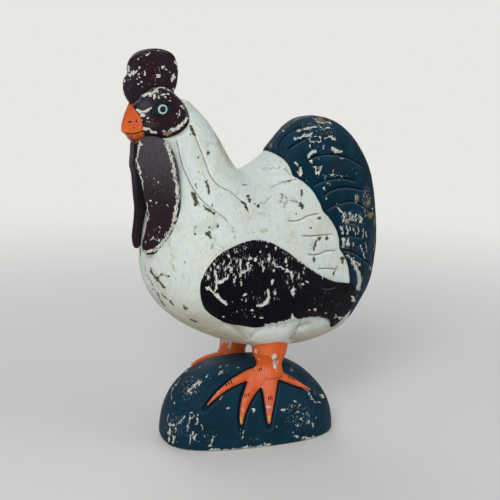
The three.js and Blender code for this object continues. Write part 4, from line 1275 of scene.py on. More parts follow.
WING_CHIPS = [
    (209, 288, 4, 1.5, 40), (240.8, 262.4, 5, 1, 90), (244.7, 272.4, 4, 1.6), (234.6, 279.1, 12, 0.9, 90),
    (228.5, 256.8, 4, 1, 90), (228, 277, 6, 0.6, 90), (205.6, 272.4, 6, 1.6, 90),
    (202.3, 266.8, 5, 1.6, 90), (212.3, 260, 4, 1, 90), (250.8, 259, 5, 2), (255.8, 260.1, 4, 2.4, 90),
    (250.8, 265.7, 5, 1.3, 90), (260.3, 252.3, 5, 1.6, 90), (275.4, 247.9, 6, 1.2, 90),
    (281, 248, 4, 1, 90), (267.6, 246.7, 3, 0.8, 90), (268.7, 259, 7, 1.5, 90), (274.8, 264.6, 7, 2.4, 60),
    (274.3, 271.3, 3, 2.4), (282.6, 268, 2, 1.5), (286.5, 270.2, 2.5, 1.5, 90), (291.6, 274.6, 9, 2.4, 90),
    (292.9, 291, 12, 3.6, 90), (299.9, 276.9, 6, 1.6, 90), (303.8, 272.4, 4, 1.5, 90),
    (307.2, 281.3, 3, 2.2), (302.2, 284.1, 3, 1.5), (300.5, 262.4, 3, 1.5, 90), (272.6, 282.5, 6, 2.2, 90),
    (275.4, 292.5, 6, 1.2, 90), (244.7, 294.7, 4, 2.4), (245.8, 301.4, 7, 1.2, 90), (251.9, 309.8, 4, 1.6),
    (254.2, 316.5, 4, 1.5, 90), (261.4, 318.2, 3, 2), (223.5, 316.5, 2, 1.5), (232.4, 301.4, 3, 1.5, 90),
    (240.8, 299.2, 3, 1, 90), (252.5, 269, 8, 0.8, 90), (293.8, 318.2, 5, 2.4), (315, 309.8, 3, 1.3, 90),
    (310, 310.4, 2, 1), (354.1, 301.4, 4, 2.4), (335, 317, 3, 1), (326.2, 312.6, 2, 1),
    (346.3, 314.8, 2, 1), (306, 266.8, 2, 2), (223.6, 262, 1.2, 6), (219, 266, 1, 5), (211.4, 270, 1, 5),
    (208, 277, 1.4, 5), (214, 264.4, 1, 4), (231.4, 270, 1, 8), (237, 262, 1, 5), (226.2, 268, 1, 5),
]
WING_STRIPS = [
    (2.2, 267.6, 291, 269, 297, 267.2, 301.4), (2.8, 266.6, 301.6, 262.5, 304.4, 258.6, 305.4),
    (2, 216, 272, 216.8, 280, 214.6, 291), (2.8, 218, 282.4, 222, 281, 226.4, 279.6),
    (1.8, 206.6, 287.6, 211, 291, 216, 294), (2.8, 216.5, 294.5, 221, 299.5, 226, 303.6),
    (1.1, 240.3, 259, 240.8, 272, 240, 285.5), (1.1, 240.4, 273.6, 245, 271.6),
    (4.4, 266, 325.8, 276, 325, 286, 323.2, 296, 321.4, 308, 319.6, 318, 318), (2, 292.9, 314, 293.2, 320),
    (1.3, 353, 297, 356, 303), (0.9, 336, 314, 341, 318, 346, 316), (0.8, 230, 262, 229.6, 274),
    (0.9, 248, 262, 247.6, 271), (0.9, 262.6, 262, 263, 272), (0.8, 285.6, 258, 286, 266),
    (1.2, 278, 266.6, 285, 268.4, 291, 272.6),
]
WING_TOP = (
    206, 262, 214, 254.5, 223, 249, 230, 245.5, 238, 242, 246, 240.3, 254, 239.5, 262, 240, 270, 241.5, 278,
    244.5, 285, 249, 291, 253, 297, 258, 302, 263, 309, 267, 315, 271, 322, 276,
)
TAIL_CHIPS = [
    (283.8, 130.4, 3.5, 1, -30), (329, 134, 2.6, 1.4), (310.2, 145.3, 2.6, 2, 60),
    (323.7, 146.5, 4.5, 1, 80), (310.9, 161.4, 4.5, 3, 20), (341.4, 158.4, 4, 1.3),
    (296.3, 163.9, 6, 2, 50), (303.5, 165.5, 3, 1, -60), (300.8, 171.9, 9, 4.4, 78),
    (306.7, 179, 3.4, 1.2, 60), (325.2, 176.7, 4, 1.3, 90), (332.4, 174.3, 2, 3), (336.5, 175.1, 1.4, 2),
    (341.3, 175.6, 1.4, 1.6), (346.1, 175.4, 1.6, 1.2), (323.6, 188.8, 5.5, 2, 60), (328.4, 184, 6, 2, -20),
    (327.8, 198.4, 5.5, 1.8, 75), (335.7, 202.8, 3, 1.2), (326, 204.4, 2.4, 1, 60), (347, 242, 6, 2.2, 85),
    (354, 258, 1.6, 1.2), (369.8, 268.5, 5, 1.4, 100), (353.8, 301.2, 3, 2), (333, 170, 1.2, 2),
    (345, 170.5, 1.2, 1.2), (353, 169, 1.2, 1.6), (356.5, 174, 1.2, 2), (343, 165, 1.4, 1),
    (366, 216, 2.4, 2), (372, 209, 1.4, 3), (318, 158.6, 1.4, 1), (345.4, 191.5, 1.4, 1),
]
TAIL_STRIPS = [
    (1.6, 313.5, 118, 318, 121.8, 330, 122.5), (1.5, 297, 131, 303, 129, 311, 127, 318, 126),
    (1.3, 320, 127, 325, 128.6, 331, 128.2), (2.8, 295, 138.5, 303, 136, 311, 133.8),
    (1.3, 308, 139, 313, 137.2, 320, 138.4, 322, 140.4, 315, 142, 309.5, 141, 308, 139),
    (1.7, 325.5, 139, 330, 137.4, 334.5, 138.8), (2.6, 332.5, 147.3, 336, 150.5, 341.5, 151.6),
    (3.2, 308.3, 156.3, 311.5, 153, 316, 151.2), (1.9, 314.4, 166.5, 317.6, 174, 321.6, 166.2),
    (1.4, 337, 207.5, 342, 213), (3.2, 352.5, 262.7, 356.5, 268.5, 359.3, 277, 360, 285, 359, 290),
    (1.5, 347.5, 255, 351, 259.5, 356, 262, 360, 264.5), (2.2, 343, 237.5, 342.6, 246),
    (1.3, 366, 242, 366.6, 251), (2.2, 342.4, 227.5, 342.8, 233),
] + [(w, x, y, x + 0.4, y + h) for w, x, y, h in (
    (1.5, 342.6, 213, 8), (1.3, 345.6, 214.5, 8), (1.2, 349.4, 213, 7), (1.4, 352.4, 215.5, 6),
    (1.2, 356, 214, 7), (1.4, 360.2, 217, 5), (1, 347.6, 218, 4), (1.2, 346.6, 227, 7),
    (1.1, 350.4, 226.4, 6), (1.4, 354.6, 227, 8), (1.1, 358.6, 228, 7), (1.2, 362.4, 229, 8),
    (1, 365.6, 231, 6), (1.2, 348, 238.6, 6), (1, 361, 245, 6), (1, 364, 253, 5), (1, 353, 242, 4),
    (1.3, 355.6, 196, 6),
)]
TAIL_BARE = [
    (320.5, 119, 11, 3, 18), (317.6, 168.4, 4.4, 3), (358, 197.6, 3, 6), (368.6, 202, 3.4, 6.4),
    (370, 214.8, 7, 5.4), (270.6, 144.5, 9, 1.5, 88), (374.6, 222, 1.2, 9), (374.4, 246, 1.2, 12),
]
BODY_BARE = [
    (191, 134.6, 2, 1.4), (207.5, 153.2, 5, 2.4, 85), (199, 157.4, 2.6, 2.2), (199, 171.4, 3, 1, 90),
    (212.2, 205, 5, 2.4, 85), (210, 226, 3, 1.2, 90), (217, 226, 5, 1.4, 90), (246, 184.7, 5, 1.5, 8),
    (247.6, 196.2, 5, 2.6, 5), (249.2, 199.8, 6, 3.4, 72), (258.7, 205.7, 3.8, 2.2, 35),
    (301.2, 204.9, 4.6, 4), (301.4, 207.4, 2, 2.6), (295.7, 214.3, 1.5, 3.6), (318.9, 218.8, 2.2, 3),
    (319.4, 238, 5.4, 2.8, -15), (326.1, 238.9, 2, 4.4), (313.8, 259.4, 4.2, 5.6), (342, 258.8, 5, 4),
    (342.4, 261.6, 2.6, 3), (337.7, 267, 2, 1.8), (333.8, 272.9, 5, 2.8, -60), (209.6, 231.4, 2.6, 3.4),
    (208, 234.4, 6, 3, 25), (210, 237.4, 2.4, 3), (196, 234.4, 2, 2.6), (184.2, 261, 1.6, 2.8),
    (180.4, 265, 1.2, 1.4), (185.4, 307.6, 6, 2.2, 45), (193, 320.4, 9, 1.8, 22),
    (151.6, 284.8, 3, 1.2, 60), (310.9, 227.3, 1, 3),
]
BODY_TEARS = [
    (2.4, 191, 125.5, 192.5, 130, 193.6, 134), (1.9, 205.6, 181.4, 208.6, 187.5, 210, 193.6),
    (3.8, 193.8, 193.5, 195.4, 199.4, 196, 205), (1.8, 196.6, 199, 200.4, 204),
    (0.9, 195.6, 183.6, 197, 189), (2.2, 203.6, 207, 208, 209.8, 214, 213), (1.2, 302, 189.4, 301.6, 198.4),
    (0.9, 253.8, 203.1, 257.5, 205.6), (1.7, 316.8, 240, 315.2, 245, 314, 250),
    (2, 150.3, 268.9, 155.8, 276.8, 160.5, 283.2, 164.5, 288), (1, 155.8, 276.8, 162, 274.4, 170, 276),
    (1, 160.5, 294.2, 165.4, 298.2), (0.8, 166.8, 299, 173.2, 303.7),
    (1.5, 242, 201.4, 245.6, 205.6, 248.4, 211), (0.7, 143.4, 266, 149.5, 280, 157.4, 294.2, 163.7, 305),
]
# A painted highlight on the near thigh: its place, sizes, angle and strength.
THIGH_HIGHLIGHT = (268, 332, 52, 26, 0, 1.0)
BODY_STAINS = [
    (263, 231, 12, 7, 0, 1.2), (224, 148, 14, 64, -25, 1.1), (200, 152, 34, 56, -10, 0.8),
    (206, 226, 44, 26, -20, 0.85), (270, 262, 20, 12, 0, 0.7), (182, 285, 30, 40, 0, 0.7),
    (326, 226, 26, 40, 20, 0.8), (160, 285, 12, 50, -25, 0.9),
]
BODY_STRIPS = [
    (0.8, 279.8, 202, 284.9, 203.4, 284.9, 207.8), (0.8, 290.7, 196.9, 297.9, 202.7),
    (2.6, 282, 194, 283, 198), (0.8, 261, 203.6, 266, 202), (0.7, 211.8, 238, 211.6, 249),
    (0.7, 196, 226, 195, 232), (0.8, 262.5, 168.8, 279, 168), (0.8, 285, 169, 290, 174),
    (0.9, 270.8, 186.3, 280, 183, 294.8, 180), (0.8, 290.7, 200.4, 299.8, 202.8),
    (0.8, 262, 204.5, 269.5, 198), (0.7, 281, 194, 288, 199, 286, 203),
    (0.8, 213.5, 118, 216, 130, 222, 143), (0.7, 232, 228, 236, 240), (0.7, 170, 262, 176, 271),
]
MOUND_CHIPS = [
    (226, 366.5, 4, 1.2, -20), (220, 367.5, 3.6, 1.2, -20), (221, 371, 3.5, 1.6, -30),
    (220.8, 373.3, 4.5, 1.4, -15), (207.2, 375.8, 4, 2, -60), (210.7, 378.2, 2, 1.6),
    (238, 367.4, 3, 0.7, 20), (199, 382.6, 7, 4, -10), (193.5, 385.5, 6, 2.5, -30),
    (189.4, 390.8, 7, 3, -55), (195.9, 391.8, 2, 1.6), (186, 379, 4, 1, -30), (192.4, 377.6, 3, 1),
    (179, 384.7, 4, 2, 90), (173.5, 392.7, 6, 3, -10), (169.5, 396.8, 8, 2.6, -58),
    (166.6, 402.5, 4, 1.6, -70), (173.8, 401.8, 2.4, 2), (184.1, 400, 2.6, 1.2, 90),
    (221.3, 397.7, 5, 1.5, -25), (228.4, 407.8, 3.6, 3), (253.8, 409.8, 5.5, 4), (283.4, 409.7, 5.5, 3),
    (288, 408.9, 3, 1.2), (291.7, 406.5, 2, 1.6), (295.2, 400.8, 3.4, 1.4, 80), (298.8, 404.2, 4, 1.2, 90),
    (298.2, 411.9, 2.4, 1.2, 90), (304, 413, 3, 1, 90), (307.6, 413.4, 2.4, 1, 90), (301.1, 419, 2, 1),
    (309.4, 421.9, 4, 2.4, 10), (312.9, 426, 6, 1.6, 85), (315.9, 417.8, 3, 1.2, 90),
    (298.2, 426, 3.6, 1.3, 90), (275.7, 426, 1.8, 1.4), (296.4, 436.7, 7, 3, 10), (306.4, 437.9, 11, 3, -5),
    (313.5, 436.7, 5, 2, -10), (293.4, 433.1, 2.4, 1.4), (225.5, 436.7, 1.6, 1.4), (210.1, 446.1, 3.4, 3),
    (292.3, 369.3, 4, 1.1, 25), (321.8, 395.9, 4, 2, 35), (240, 430, 1.2, 1), (178, 441, 1.6, 1.2),
    (205, 436, 1.6, 3),
]
MOUND_STRIPS = [
    (1.3, 189.5, 413.5, 192.5, 412, 194.4, 414, 192, 417.4, 189.6, 416.6, 189.5, 413.5),
    (1.8, 190, 418, 188.6, 424, 187, 430), (1.5, 184.6, 416, 181.5, 419.5, 179, 423.5),
    (1.3, 197.4, 414.5, 197.6, 420, 196.4, 424), (0.8, 201, 424, 204, 429.5), (1.5, 170.2, 424, 170.4, 431),
    (1.4, 169.5, 424.6, 177, 424.4), (1.2, 173, 427, 176.6, 427.4, 176, 432), (0.9, 167.5, 411, 167.7, 421),
    (1.4, 169, 432, 168.8, 441), (2, 173.8, 436, 173.2, 443), (1.3, 193, 431, 191.5, 437, 190.5, 445),
    (1.1, 196.5, 434, 194, 440), (1.8, 215, 436.5, 211.5, 442.5), (1.2, 243, 431.5, 241.4, 438),
    (1.3, 163.5, 441, 170, 446, 180, 449.3, 196, 451, 212, 451),
    (1.9, 210, 450.3, 222, 449.6, 240, 448.6, 258, 446.6, 270, 445), (1.6, 265.5, 443, 268, 446),
    (1, 310, 397, 315.5, 402, 321.5, 403.6), (0.7, 303, 388, 309, 393, 313, 399),
]
LEG_CHIPS = [
    (273.6, 356.4, 6, 5, -60), (274.6, 365.4, 9, 4.6, 80), (277.6, 362.4, 3, 1.6, 80),
    (255, 368, 7, 1.5, -72), (255.6, 351.4, 6, 1.2, 70), (215.8, 392.2, 6, 2, -35), (268.6, 407, 6, 4),
    (242, 408.6, 2.2, 2), (265, 354, 2.4, 0.9, 20), (258.6, 359, 1.4, 1), (276, 371.6, 2, 1, 90),
    (239.6, 392, 1, 6), (262.6, 388, 1, 5),
]
FAR_LEG_CHIPS = [
    (229.6, 345, 3.4, 6), (226.5, 341, 1.4, 4, -30), (222.4, 342, 1, 12, 28), (231, 349, 1.6, 1.2),
]
FAR_LEG_INK = [(230.4, 344.6, 1.6, 3), (216, 357.6, 4, 1, -30), (212, 358.6, 3, 1, -30)]
BEAK_INK = [
    (129.9, 121.8, 4.6, 1.8, -6), (136.3, 121, 1.5, 4.2, 8), (125.4, 114.2, 1.6, 1.2), (126, 110.8, 1.2, 1),
    (133.9, 127.8, 2, 1.5), (129.9, 129, 1.4, 1), (142.3, 127.8, 1, 2), (137.4, 124.6, 1.2, 1.2),
]
BEAK_SHADE = [(134, 142, 30, 16, 12)]
STROKES = [
    (226.3, 384.9, 4.4, 1.3, 70), (228.8, 383.5, 4.4, 1.3, 70), (231.3, 382.2, 4.4, 1.3, 70),
    (245, 395.8, 4.2, 0.9, 100), (246.9, 395.2, 4.2, 0.9, 100), (248.8, 394.4, 4.2, 0.9, 100),
    (268.5, 398.2, 5.4, 0.8, 88), (270.3, 398.2, 5.4, 0.8, 88), (272, 397.8, 5.4, 0.8, 88),
    (289, 377.2, 3.4, 1.2, 50), (291.4, 378.4, 3.4, 1.2, 50), (293.8, 379.6, 3.4, 1.2, 50),
    (259.2, 369.8, 4, 1, 85), (261.5, 369, 4, 1, 85), (215.6, 392.8, 2, 1.2, -30),
]
TOE_ENDS = [(240, 420, 2.6, 7), (269, 418, 2.6, 7), (277.8, 361, 2, 3), (243, 411, 0.9, 7, 20)]

# Patches, where only flecks break through
WING_PATCHES = [
    (216, 272, 36, 44, 0, 0.4), (240, 266, 40, 36, 0, 0.4), (268, 262, 44, 26, 20, 0.38),
    (294, 280, 34, 34, 0, 0.36), (265, 296, 46, 30, 0, 0.34), (250, 312, 60, 14, 0, 0.32),
    (322, 300, 64, 26, 15, 0.27), (234, 250, 60, 14, -15, 0.38), (290, 254, 30, 14, 40, 0.36),
]
TAIL_PATCHES = [
    (318, 128, 50, 22, 10, 0.36), (322, 150, 46, 16, 10, 0.3), (330, 176, 50, 14, 0, 0.3),
    (352, 220, 36, 30, 0, 0.38), (366, 200, 14, 46, 0, 0.4), (352, 250, 30, 40, 0, 0.3),
    (360, 285, 16, 40, 10, 0.34), (272, 146, 14, 20, 0, 0.3),
]
COMB_PATCHES = [(150, 74, 50, 40, 0, 0.3), (130, 76, 12, 34, 0, 0.36), (150, 54, 44, 10, 0, 0.3)]
HEAD_PATCHES = [(158, 94, 34, 12, 0, 0.34), (150, 118, 24, 22, 0, 0.26), (178, 118, 18, 30, 30, 0.3)]
WATTLE_PATCHES = [(160, 190, 24, 60, 0, 0.24), (156, 236, 30, 24, -30, 0.34)]
MOUND_PATCHES = [
    (190, 388, 50, 30, -45, 0.36), (175, 425, 34, 40, 0, 0.34), (205, 436, 60, 20, 0, 0.3),
    (298, 415, 44, 44, 0, 0.34), (250, 440, 100, 14, 0, 0.26), (222, 370, 20, 12, 0, 0.3),
    (312, 385, 20, 34, -45, 0.3),
]
TAIL_THIN = [(336, 168, 34, 16, 0, 0.75), (366, 208, 16, 26, 0, 0.6)]
WING_THIN = [(311, 314, 40, 12, 0, 0.8), (250, 246, 80, 12, 0, 0.65), (215, 268, 30, 30, 0, 0.55)]
# Painted sheen on the lit front of the head.
HEAD_SHEEN = [(146, 108, 30, 26, 0, 0.66), (152, 124, 30, 14, 0, 0.62)]


# The pieces

BED_DEPTH, BED_REACH = 2.6, 12.0
MOUND_WEAR, TAIL_WEAR, BEAK_GRIME = 0.66, 0.72, 0.16


def toe_beds(points, paths):
    """How deep the mound is hollowed round each toe."""
    deepest = np.zeros(len(points))
    for path, halves in paths:
        inside = (points > path.min(0) - BED_REACH) & (points < path.max(0) + BED_REACH)
        close = np.flatnonzero(np.all(inside, axis=1))
        away = np.linalg.norm(points[close][:, None] - path[None], axis=2)
        index = away.argmin(1)
        beyond = away[np.arange(len(close)), index] - halves[index]
        deepest[close] = np.maximum(deepest[close], BED_DEPTH * (1 - ease(beyond, 0.6, 4.2)))
    return deepest


def bed_paths():
    """The middle line of each toe and its half-width there, drawn out a little past its tip."""
    found = []
    for stance in STANCES:
        for toe in TOES[stance[2]]:
            rows = toe_path(toe, stance, 60)
            step = rows[-1][0] - rows[-4][0]
            path = [row[0] for row in rows] + [onto_mound(rows[-1][0] + step * k) for k in (0.5, 1.0, 1.5)]
            halves = [toe_half(row[3], toe[3]) for row in rows] + [toe_half(1.0, toe[3])] * 3
            found.append((np.array(path), np.array(halves)))
    return found


def build_mound():
    piece = carved("mound", mound_skin(), voxel=1.5, smooth=3)
    paths = bed_paths()

    def on_slope(points):
        depth = toe_beds(points, paths)
        return (depth > 0) & (depth < BED_DEPTH)
    refine(piece, on_slope)
    push_out(piece, -toe_beds(points_of(piece), paths))
    uneven(piece, 0.5, 30, 11)
    points = points_of(piece)
    points[:, 2] = np.maximum(points[:, 2], 0)
    set_points(piece, points)
    carve(piece, lines_on(piece, MOUND_LINES), width=2.2, depth=1.0, shoulder=0.4)
    refine_chips(piece, MOUND_CHIPS, MOUND_STRIPS)
    beds = toe_beds(points_of(piece), paths)
    # Painted shade in the deepest part of each toe bed.
    raised(piece, "grime_and_shade", 0.25 * ease(beds, 1.4, BED_DEPTH))
    # Painted highlight round the outer edge of each toe bed.
    raised(piece, "lip", 0.55 * bell(beds, 0.5, 0.4))
    # Painted reflection: faces that turn up are made lighter.
    raised(piece, "lip", 0.42 * ease(normals_of(piece)[:, 2], 0.55, 0.98))
    marked(piece, "wear", MOUND_CHIPS + MOUND_PATCHES, MOUND_STRIPS)
    attribute(piece, "wear", np.minimum(values_of(piece, "wear"), MOUND_WEAR))
    scattered(piece, "wear", 60, (1.6, 4.5), faint=0.34)
    raised(piece, "wear", 0.75 * (1 - ease(points_of(piece)[:, 2], 0.6, 2.6)))
    handed_in(piece, "base_mound", mound_paint)


def build_legs():
    for name, stance in zip(("left_leg", "right_leg"), STANCES):
        part = joined(leg_skin(stance), *[toe_skin(toe, stance) for toe in TOES[stance[2]]])
        piece = carved("scene_" + name, part, voxel=0.9, smooth=9, wave=(0.25, 12, 21))
        far = name == "right_leg"
        if not far:
            refine_chips(piece, TOE_ENDS + LEG_CHIPS, times=1)
            refine_chips(piece, STROKES, crisp=True, level=0.1)
        for tint, chips in (("wear", LEG_CHIPS), ("stroke", STROKES), ("tips", TOE_ENDS)):
            marked(piece, tint, chips, shift=(STRIDE * far, 0, 0), flip=False, crisp=tint == "stroke")
        if far:
            marked(piece, "wear", FAR_LEG_CHIPS, sides=(1,), limit=FAR)
            marked(piece, "stroke", FAR_LEG_INK, sides=(1,), limit=FAR)
        scattered(piece, "wear", 8, (2, 4))
        height = points_of(piece)[:, 2]
        foot = ground_at(*stance[:2])
        front = 0.72 + 0.28 * ease(-normals_of(piece)[:, 0], -0.2, 0.7)
        attribute(piece, "rosy", 0.8 * front * (1 - ease(height, foot + 4, foot + 20)))
        attribute(piece, "grime_and_shade", 0.4 * (1 - ease(np.abs(height - BELLY - THIGH_HEIGHT), 0, 2)))
        handed_in(piece, name, orange_paint)


def build_body(wing_room, wattle_room):
    head_room = slab(grown(smooth_loop(HEAD, 160), -1.6) + [0, BELLY], -FAR, FAR)
    rooms = [scallop_slab(1, 0.0), head_room]
    for room in (wing_room, wattle_room):
        rooms += [room, mirrored(room)]
    part = joined(body_skin(), *[thigh_skin(s) for s in STANCES])
    piece = carved("body", part, voxel=1.6, smooth=3, wave=(0.55, 24, 31), cutters=rooms)
    tables = (THIGH_CREASES, NECK_LINES + SADDLE_LINES, BREAST_CRACKS)
    folds, grooves, cracks = [lines_on(piece, table) for table in tables]
    carve(piece, folds, width=6.0, depth=0.5, shoulder=2.1, spread=11, fine=False)
    # The thigh creases keep a quarter of their painted shade and none of their painted highlight.
    attribute(piece, "grime_and_shade", 0.25 * values_of(piece, "grime_and_shade"))
    attribute(piece, "lip", 0 * values_of(piece, "lip"))
    carve(piece, grooves, width=1.9, depth=1.1, shoulder=1.0, spread=9, lip=0.25)
    carve(piece, cracks, width=1.3, depth=0.6)
    refine_chips(piece, BODY_BARE, BODY_TEARS + BODY_STRIPS)
    for reach in (3.0, 1.6):
        refine(piece, lambda p: (np.abs(p[:, 0] - SEAM_X) < reach) & (p[:, 2] < SEAM_TOP))
    points = points_of(piece)
    # A painted highlight on the near thigh.
    thigh_highlight = mark_values(to_pixels(points), [THIGH_HIGHLIGHT])
    raised(piece, "lip", 0.85 * thigh_highlight)
    # Painted shade: faces that turn down take the darker underside tint, less so on the thigh highlight.
    attribute(piece, "underside_shade", 0.4 + 0.9 * ease(-normals_of(piece)[:, 2], 0.0, 0.9) * (1 - thigh_highlight))
    belly = 1 - ease(points[:, 2], SEAM_FADE, SEAM_TOP)
    seam = (1 - ease(np.abs(points[:, 0] - SEAM_X), 0.35, 1.2)) * belly
    raised(piece, "grime_and_shade", seam)
    push_out(piece, -SEAM_DEPTH * seam)
    marked(piece, "bare", BODY_BARE, BODY_TEARS)
    marked(piece, "grime_and_shade", strips=BODY_STRIPS, flip=False)
    marked(piece, "stain", BODY_STAINS, flip=False)
    scattered(piece, "bare", 40, (1.2, 2.8), stretch=2.2)
    for side, name in ((-1, "body_front"), (1, "body_rear")):
        handed_in(half_of(piece, name, side), name + "_block", cream_paint)
    bpy.data.objects.remove(piece)


def build_tail():
    cutters = [scallop_slab(-1, -2.5)]
    piece = carved("scene_tail", tail_skin(), 1.7, 3, wave=(0.5, 20, 41), cutters=cutters, rough=1.4)
    lines = lines_on(piece, TAIL_LINES)
    carve(piece, lines, width=2.2, depth=1.2, shoulder=1.1, spread=9, lip=0.3)
    refine_chips(piece, TAIL_CHIPS + TAIL_BARE, TAIL_STRIPS)
    marked(piece, "wear", TAIL_CHIPS + TAIL_PATCHES, TAIL_STRIPS)
    attribute(piece, "wear", np.minimum(values_of(piece, "wear"), TAIL_WEAR))
    # Painted reflection: faces that turn up are made lighter.
    raised(piece, "lip", 0.3 * ease(normals_of(piece)[:, 2], 0.1, 0.8))
    marked(piece, "thin", TAIL_THIN)
    marked(piece, "bare", TAIL_BARE)
    scattered(piece, "wear", 70, (1.2, 4), stretch=2.4, faint=0.36)
    handed_in(piece, "tail", blue_paint)


def build_head():
    piece = carved("scene_head", head_skin(), voxel=0.8, smooth=3, wave=(0.25, 12, 51))
    refine_chips(piece, HEAD_CHIPS + ALMOND, ALMOND_EDGE + HEAD_STRIPS)
    marked(piece, "wear", HEAD_CHIPS + HEAD_PATCHES, HEAD_STRIPS)
    marked(piece, "bare", HEAD_BARE)
    marked(piece, "almond", ALMOND, flip=False)
    marked(piece, "ink", strips=ALMOND_EDGE, flip=False)
    # Painted sheen: grey on the lit front of the head and along its top rim.
    marked(piece, "rim", HEAD_SHEEN, HEAD_RIM_SHEEN, flip=False)
    scattered(piece, "wear", 14, (1, 3))
    handed_in(piece, "head", plum_paint)


def build_comb():
    piece = carved("scene_comb", comb_skin(), voxel=0.8, smooth=3, wave=(0.3, 14, 61))
    refine_chips(piece, COMB_CHIPS, COMB_STRIPS)
    marked(piece, "wear", COMB_CHIPS + COMB_PATCHES, COMB_STRIPS)
    # Painted sheen: grey along the comb's bevel and its top edge.
    marked(piece, "rim", strips=COMB_SHEEN_LINES)
    scattered(piece, "wear", 22, (1, 3.5))
    handed_in(piece, "comb", plum_paint)


def build_beak():
    piece = carved("scene_beak", beak_skin(), voxel=0.6, smooth=3)
    mouth, holes = [lines_on(piece, table, 0.4) for table in (BEAK_LINES, NOSTRILS)]
    carve(piece, mouth, width=1.4, depth=0.6, shoulder=0.3, spread=3)
    carve(piece, holes, width=1.4, depth=0.7)
    marked(piece, "stroke", BEAK_INK, [(1.2, *BEAK_LINES[0])], flip=False, crisp=True)
    marked(piece, "grime_and_shade", BEAK_SHADE, flip=False)
    raised(piece, "grime_and_shade", BEAK_GRIME)
    handed_in(piece, "beak", orange_paint)


def build_wattles(part):
    for name, shape in twins("wattle", part):
        piece = carved("scene_" + name, shape, voxel=0.8, smooth=3, wave=(0.3, 16, 71))
        refine_chips(piece, WATTLE_CHIPS, WATTLE_STRIPS + [(3, *WATTLE_EDGE)], times=1)
        marked(piece, "wear", WATTLE_CHIPS + WATTLE_PATCHES, WATTLE_STRIPS, outside=WATTLE_EDGE)
        # Painted sheen: grey laid over each wattle, more towards its top.
        attribute(piece, "rim", 0.45 + 0.3 * ease(points_of(piece)[:, 2], 225, 315))
        handed_in(piece, name, plum_paint)


def build_wings(part):
    lines = []
    for name, shape in twins("wing", part):
        piece = carved("scene_" + name, shape, voxel=1.1, smooth=4, wave=(0.4, 18, 81))
        lines = lines or lines_on(piece, WING_LINES)
        carve(piece, lines, width=2.0, depth=0.7, shoulder=0.5, spread=6)
        ticks = [(x, y, 4.5 * rng.uniform(0.5, 1.3), rng.uniform(0.7, 1.5), 90)
                 for x, y in even(hermite(WING_TOP, per=8), 46, False) if rng.random() < 0.75]
        refine_chips(piece, WING_CHIPS + ticks, WING_STRIPS)
        marked(piece, "wear", WING_CHIPS + ticks + WING_PATCHES, WING_STRIPS)
        marked(piece, "thin", WING_THIN)
        handed_in(piece, name, black_paint)


def build_eyes():
    for name, shape in twins("eye", eye_skin()):
        piece = mesh_object("scene_" + name, shape)
        points = points_of(piece)
        away = np.hypot(points[:, 0] - EYE_X, points[:, 2] - EYE_Z - BELLY)
        attribute(piece, "pupil", 1.2 * (1 - ease(away, 2.6, 3.4)))
        attribute(piece, "grime_and_shade", 0.7 * np.clip(1 - np.abs(away - 3.0) / 0.6, 0, 1))
        handed_in(piece, name, eye_paint)


GLOW_FROM, GLOW_FULL = 0.35, 1.4


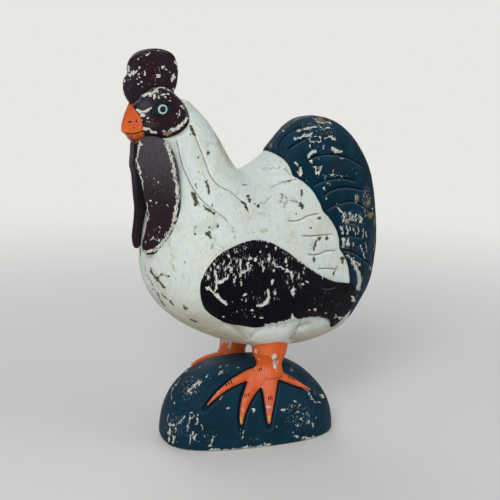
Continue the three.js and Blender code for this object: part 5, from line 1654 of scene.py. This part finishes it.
def build_floor(radius=4.0, rings=24, sides=96):
    """A wide pale disc, which glows evenly far out and takes the object's shadow near it."""
    reach = radius * (np.arange(1, rings + 1) / rings) ** 2
    points = [(0.0, 0.0, 0.0)]
    points += [(r * math.cos(a), r * math.sin(a), 0.0) for r in reach for a in around(sides)]
    faces = [(0, 1 + j, 1 + (j + 1) % sides) for j in range(sides)]
    for low in range(1, 1 + (rings - 1) * sides, sides):
        high = low + sides
        faces += [(low + j, high + j, high + (j + 1) % sides, low + (j + 1) % sides) for j in range(sides)]
    mesh = bpy.data.meshes.new("floor")
    mesh.from_pydata(points, [], faces)
    g = material_graph("floor_paper")
    tone = g.mix(g.noise((9, 9, 9), 3), srgb(226, 225, 222), srgb(230, 229, 226))
    paper = g.add("BsdfDiffuse", {"Color": tone})
    glow = g.add("Emission", {"Color": PALE_ROOM, "Strength": 1.0})
    distance = g.add("VectorMath", {0: g.place}, operation="LENGTH").outputs["Value"]
    path = g.add("LightPath").outputs
    direct = g.sum("MAXIMUM", path["Is Camera Ray"], path["Is Glossy Ray"])
    share = g.times(g.step(distance, GLOW_FROM, GLOW_FULL), direct)
    mixed = g.add("MixShader", {0: share, 1: paper.outputs[0], 2: glow.outputs[0]})
    mesh.materials.append(g.output(mixed))
    linked("floor", mesh)


LAMPS = (
    ("key", (-1.2, -1.4, 1.5), 0.9, 21.5), ("fill", (1.5, -1.2, 0.9), 1.4, 7.5),
    ("low", (-1.3, -0.9, 0.35), 1.0, 3.2), ("back", (0.4, 1.8, 1.5), 1.5, 12.0),
)
LAMP_AIM = Vector((0, 0, 0.2))


def build_light():
    """The studio's world and its lamps, each with a place, a size and a power."""
    scene.view_settings.view_transform = "Standard"
    scene.world = bpy.data.worlds.new("studio")
    g = Graph(scene.world)
    soft = g.add("Background", {"Color": srgb(246, 250, 255), "Strength": 0.36})
    pale = g.add("Background", {"Color": PALE_ROOM, "Strength": 1.0})
    seen = g.add("LightPath").outputs["Is Camera Ray"]
    mixed = g.add("MixShader", {0: seen, 1: soft.outputs[0], 2: pale.outputs[0]})
    g.output(mixed, "OutputWorld")
    for name, place, size, power in LAMPS:
        data = bpy.data.lights.new(name, "AREA")
        data.size = size
        data.energy = power
        lamp = linked(name, data)
        lamp.location = place
        lamp.rotation_euler = (LAMP_AIM - Vector(place)).to_track_quat("-Z", "Y").to_euler()


add_camera()
plain_body = mesh_object("plain_body", body_skin())
flanks = tree_of(plain_body)
wing_part = wing_skin(flanks)
build_mound()
build_legs()
build_body(wing_skin(flanks, -2.0, 14.0), wattle_skin(-1.5, 14.0))
build_tail()
build_head()
build_comb()
build_beak()
build_wattles(wattle_skin())
build_wings(wing_part)
build_eyes()
bpy.data.objects.remove(plain_body)

for node_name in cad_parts:
    if "dowel" in node_name or "peg" in node_name:
        cad_node = bpy.data.objects[node_name]
        for cad_slot in cad_node.material_slots:
            cad_slot.material = dowel_wood

build_floor()
build_light()
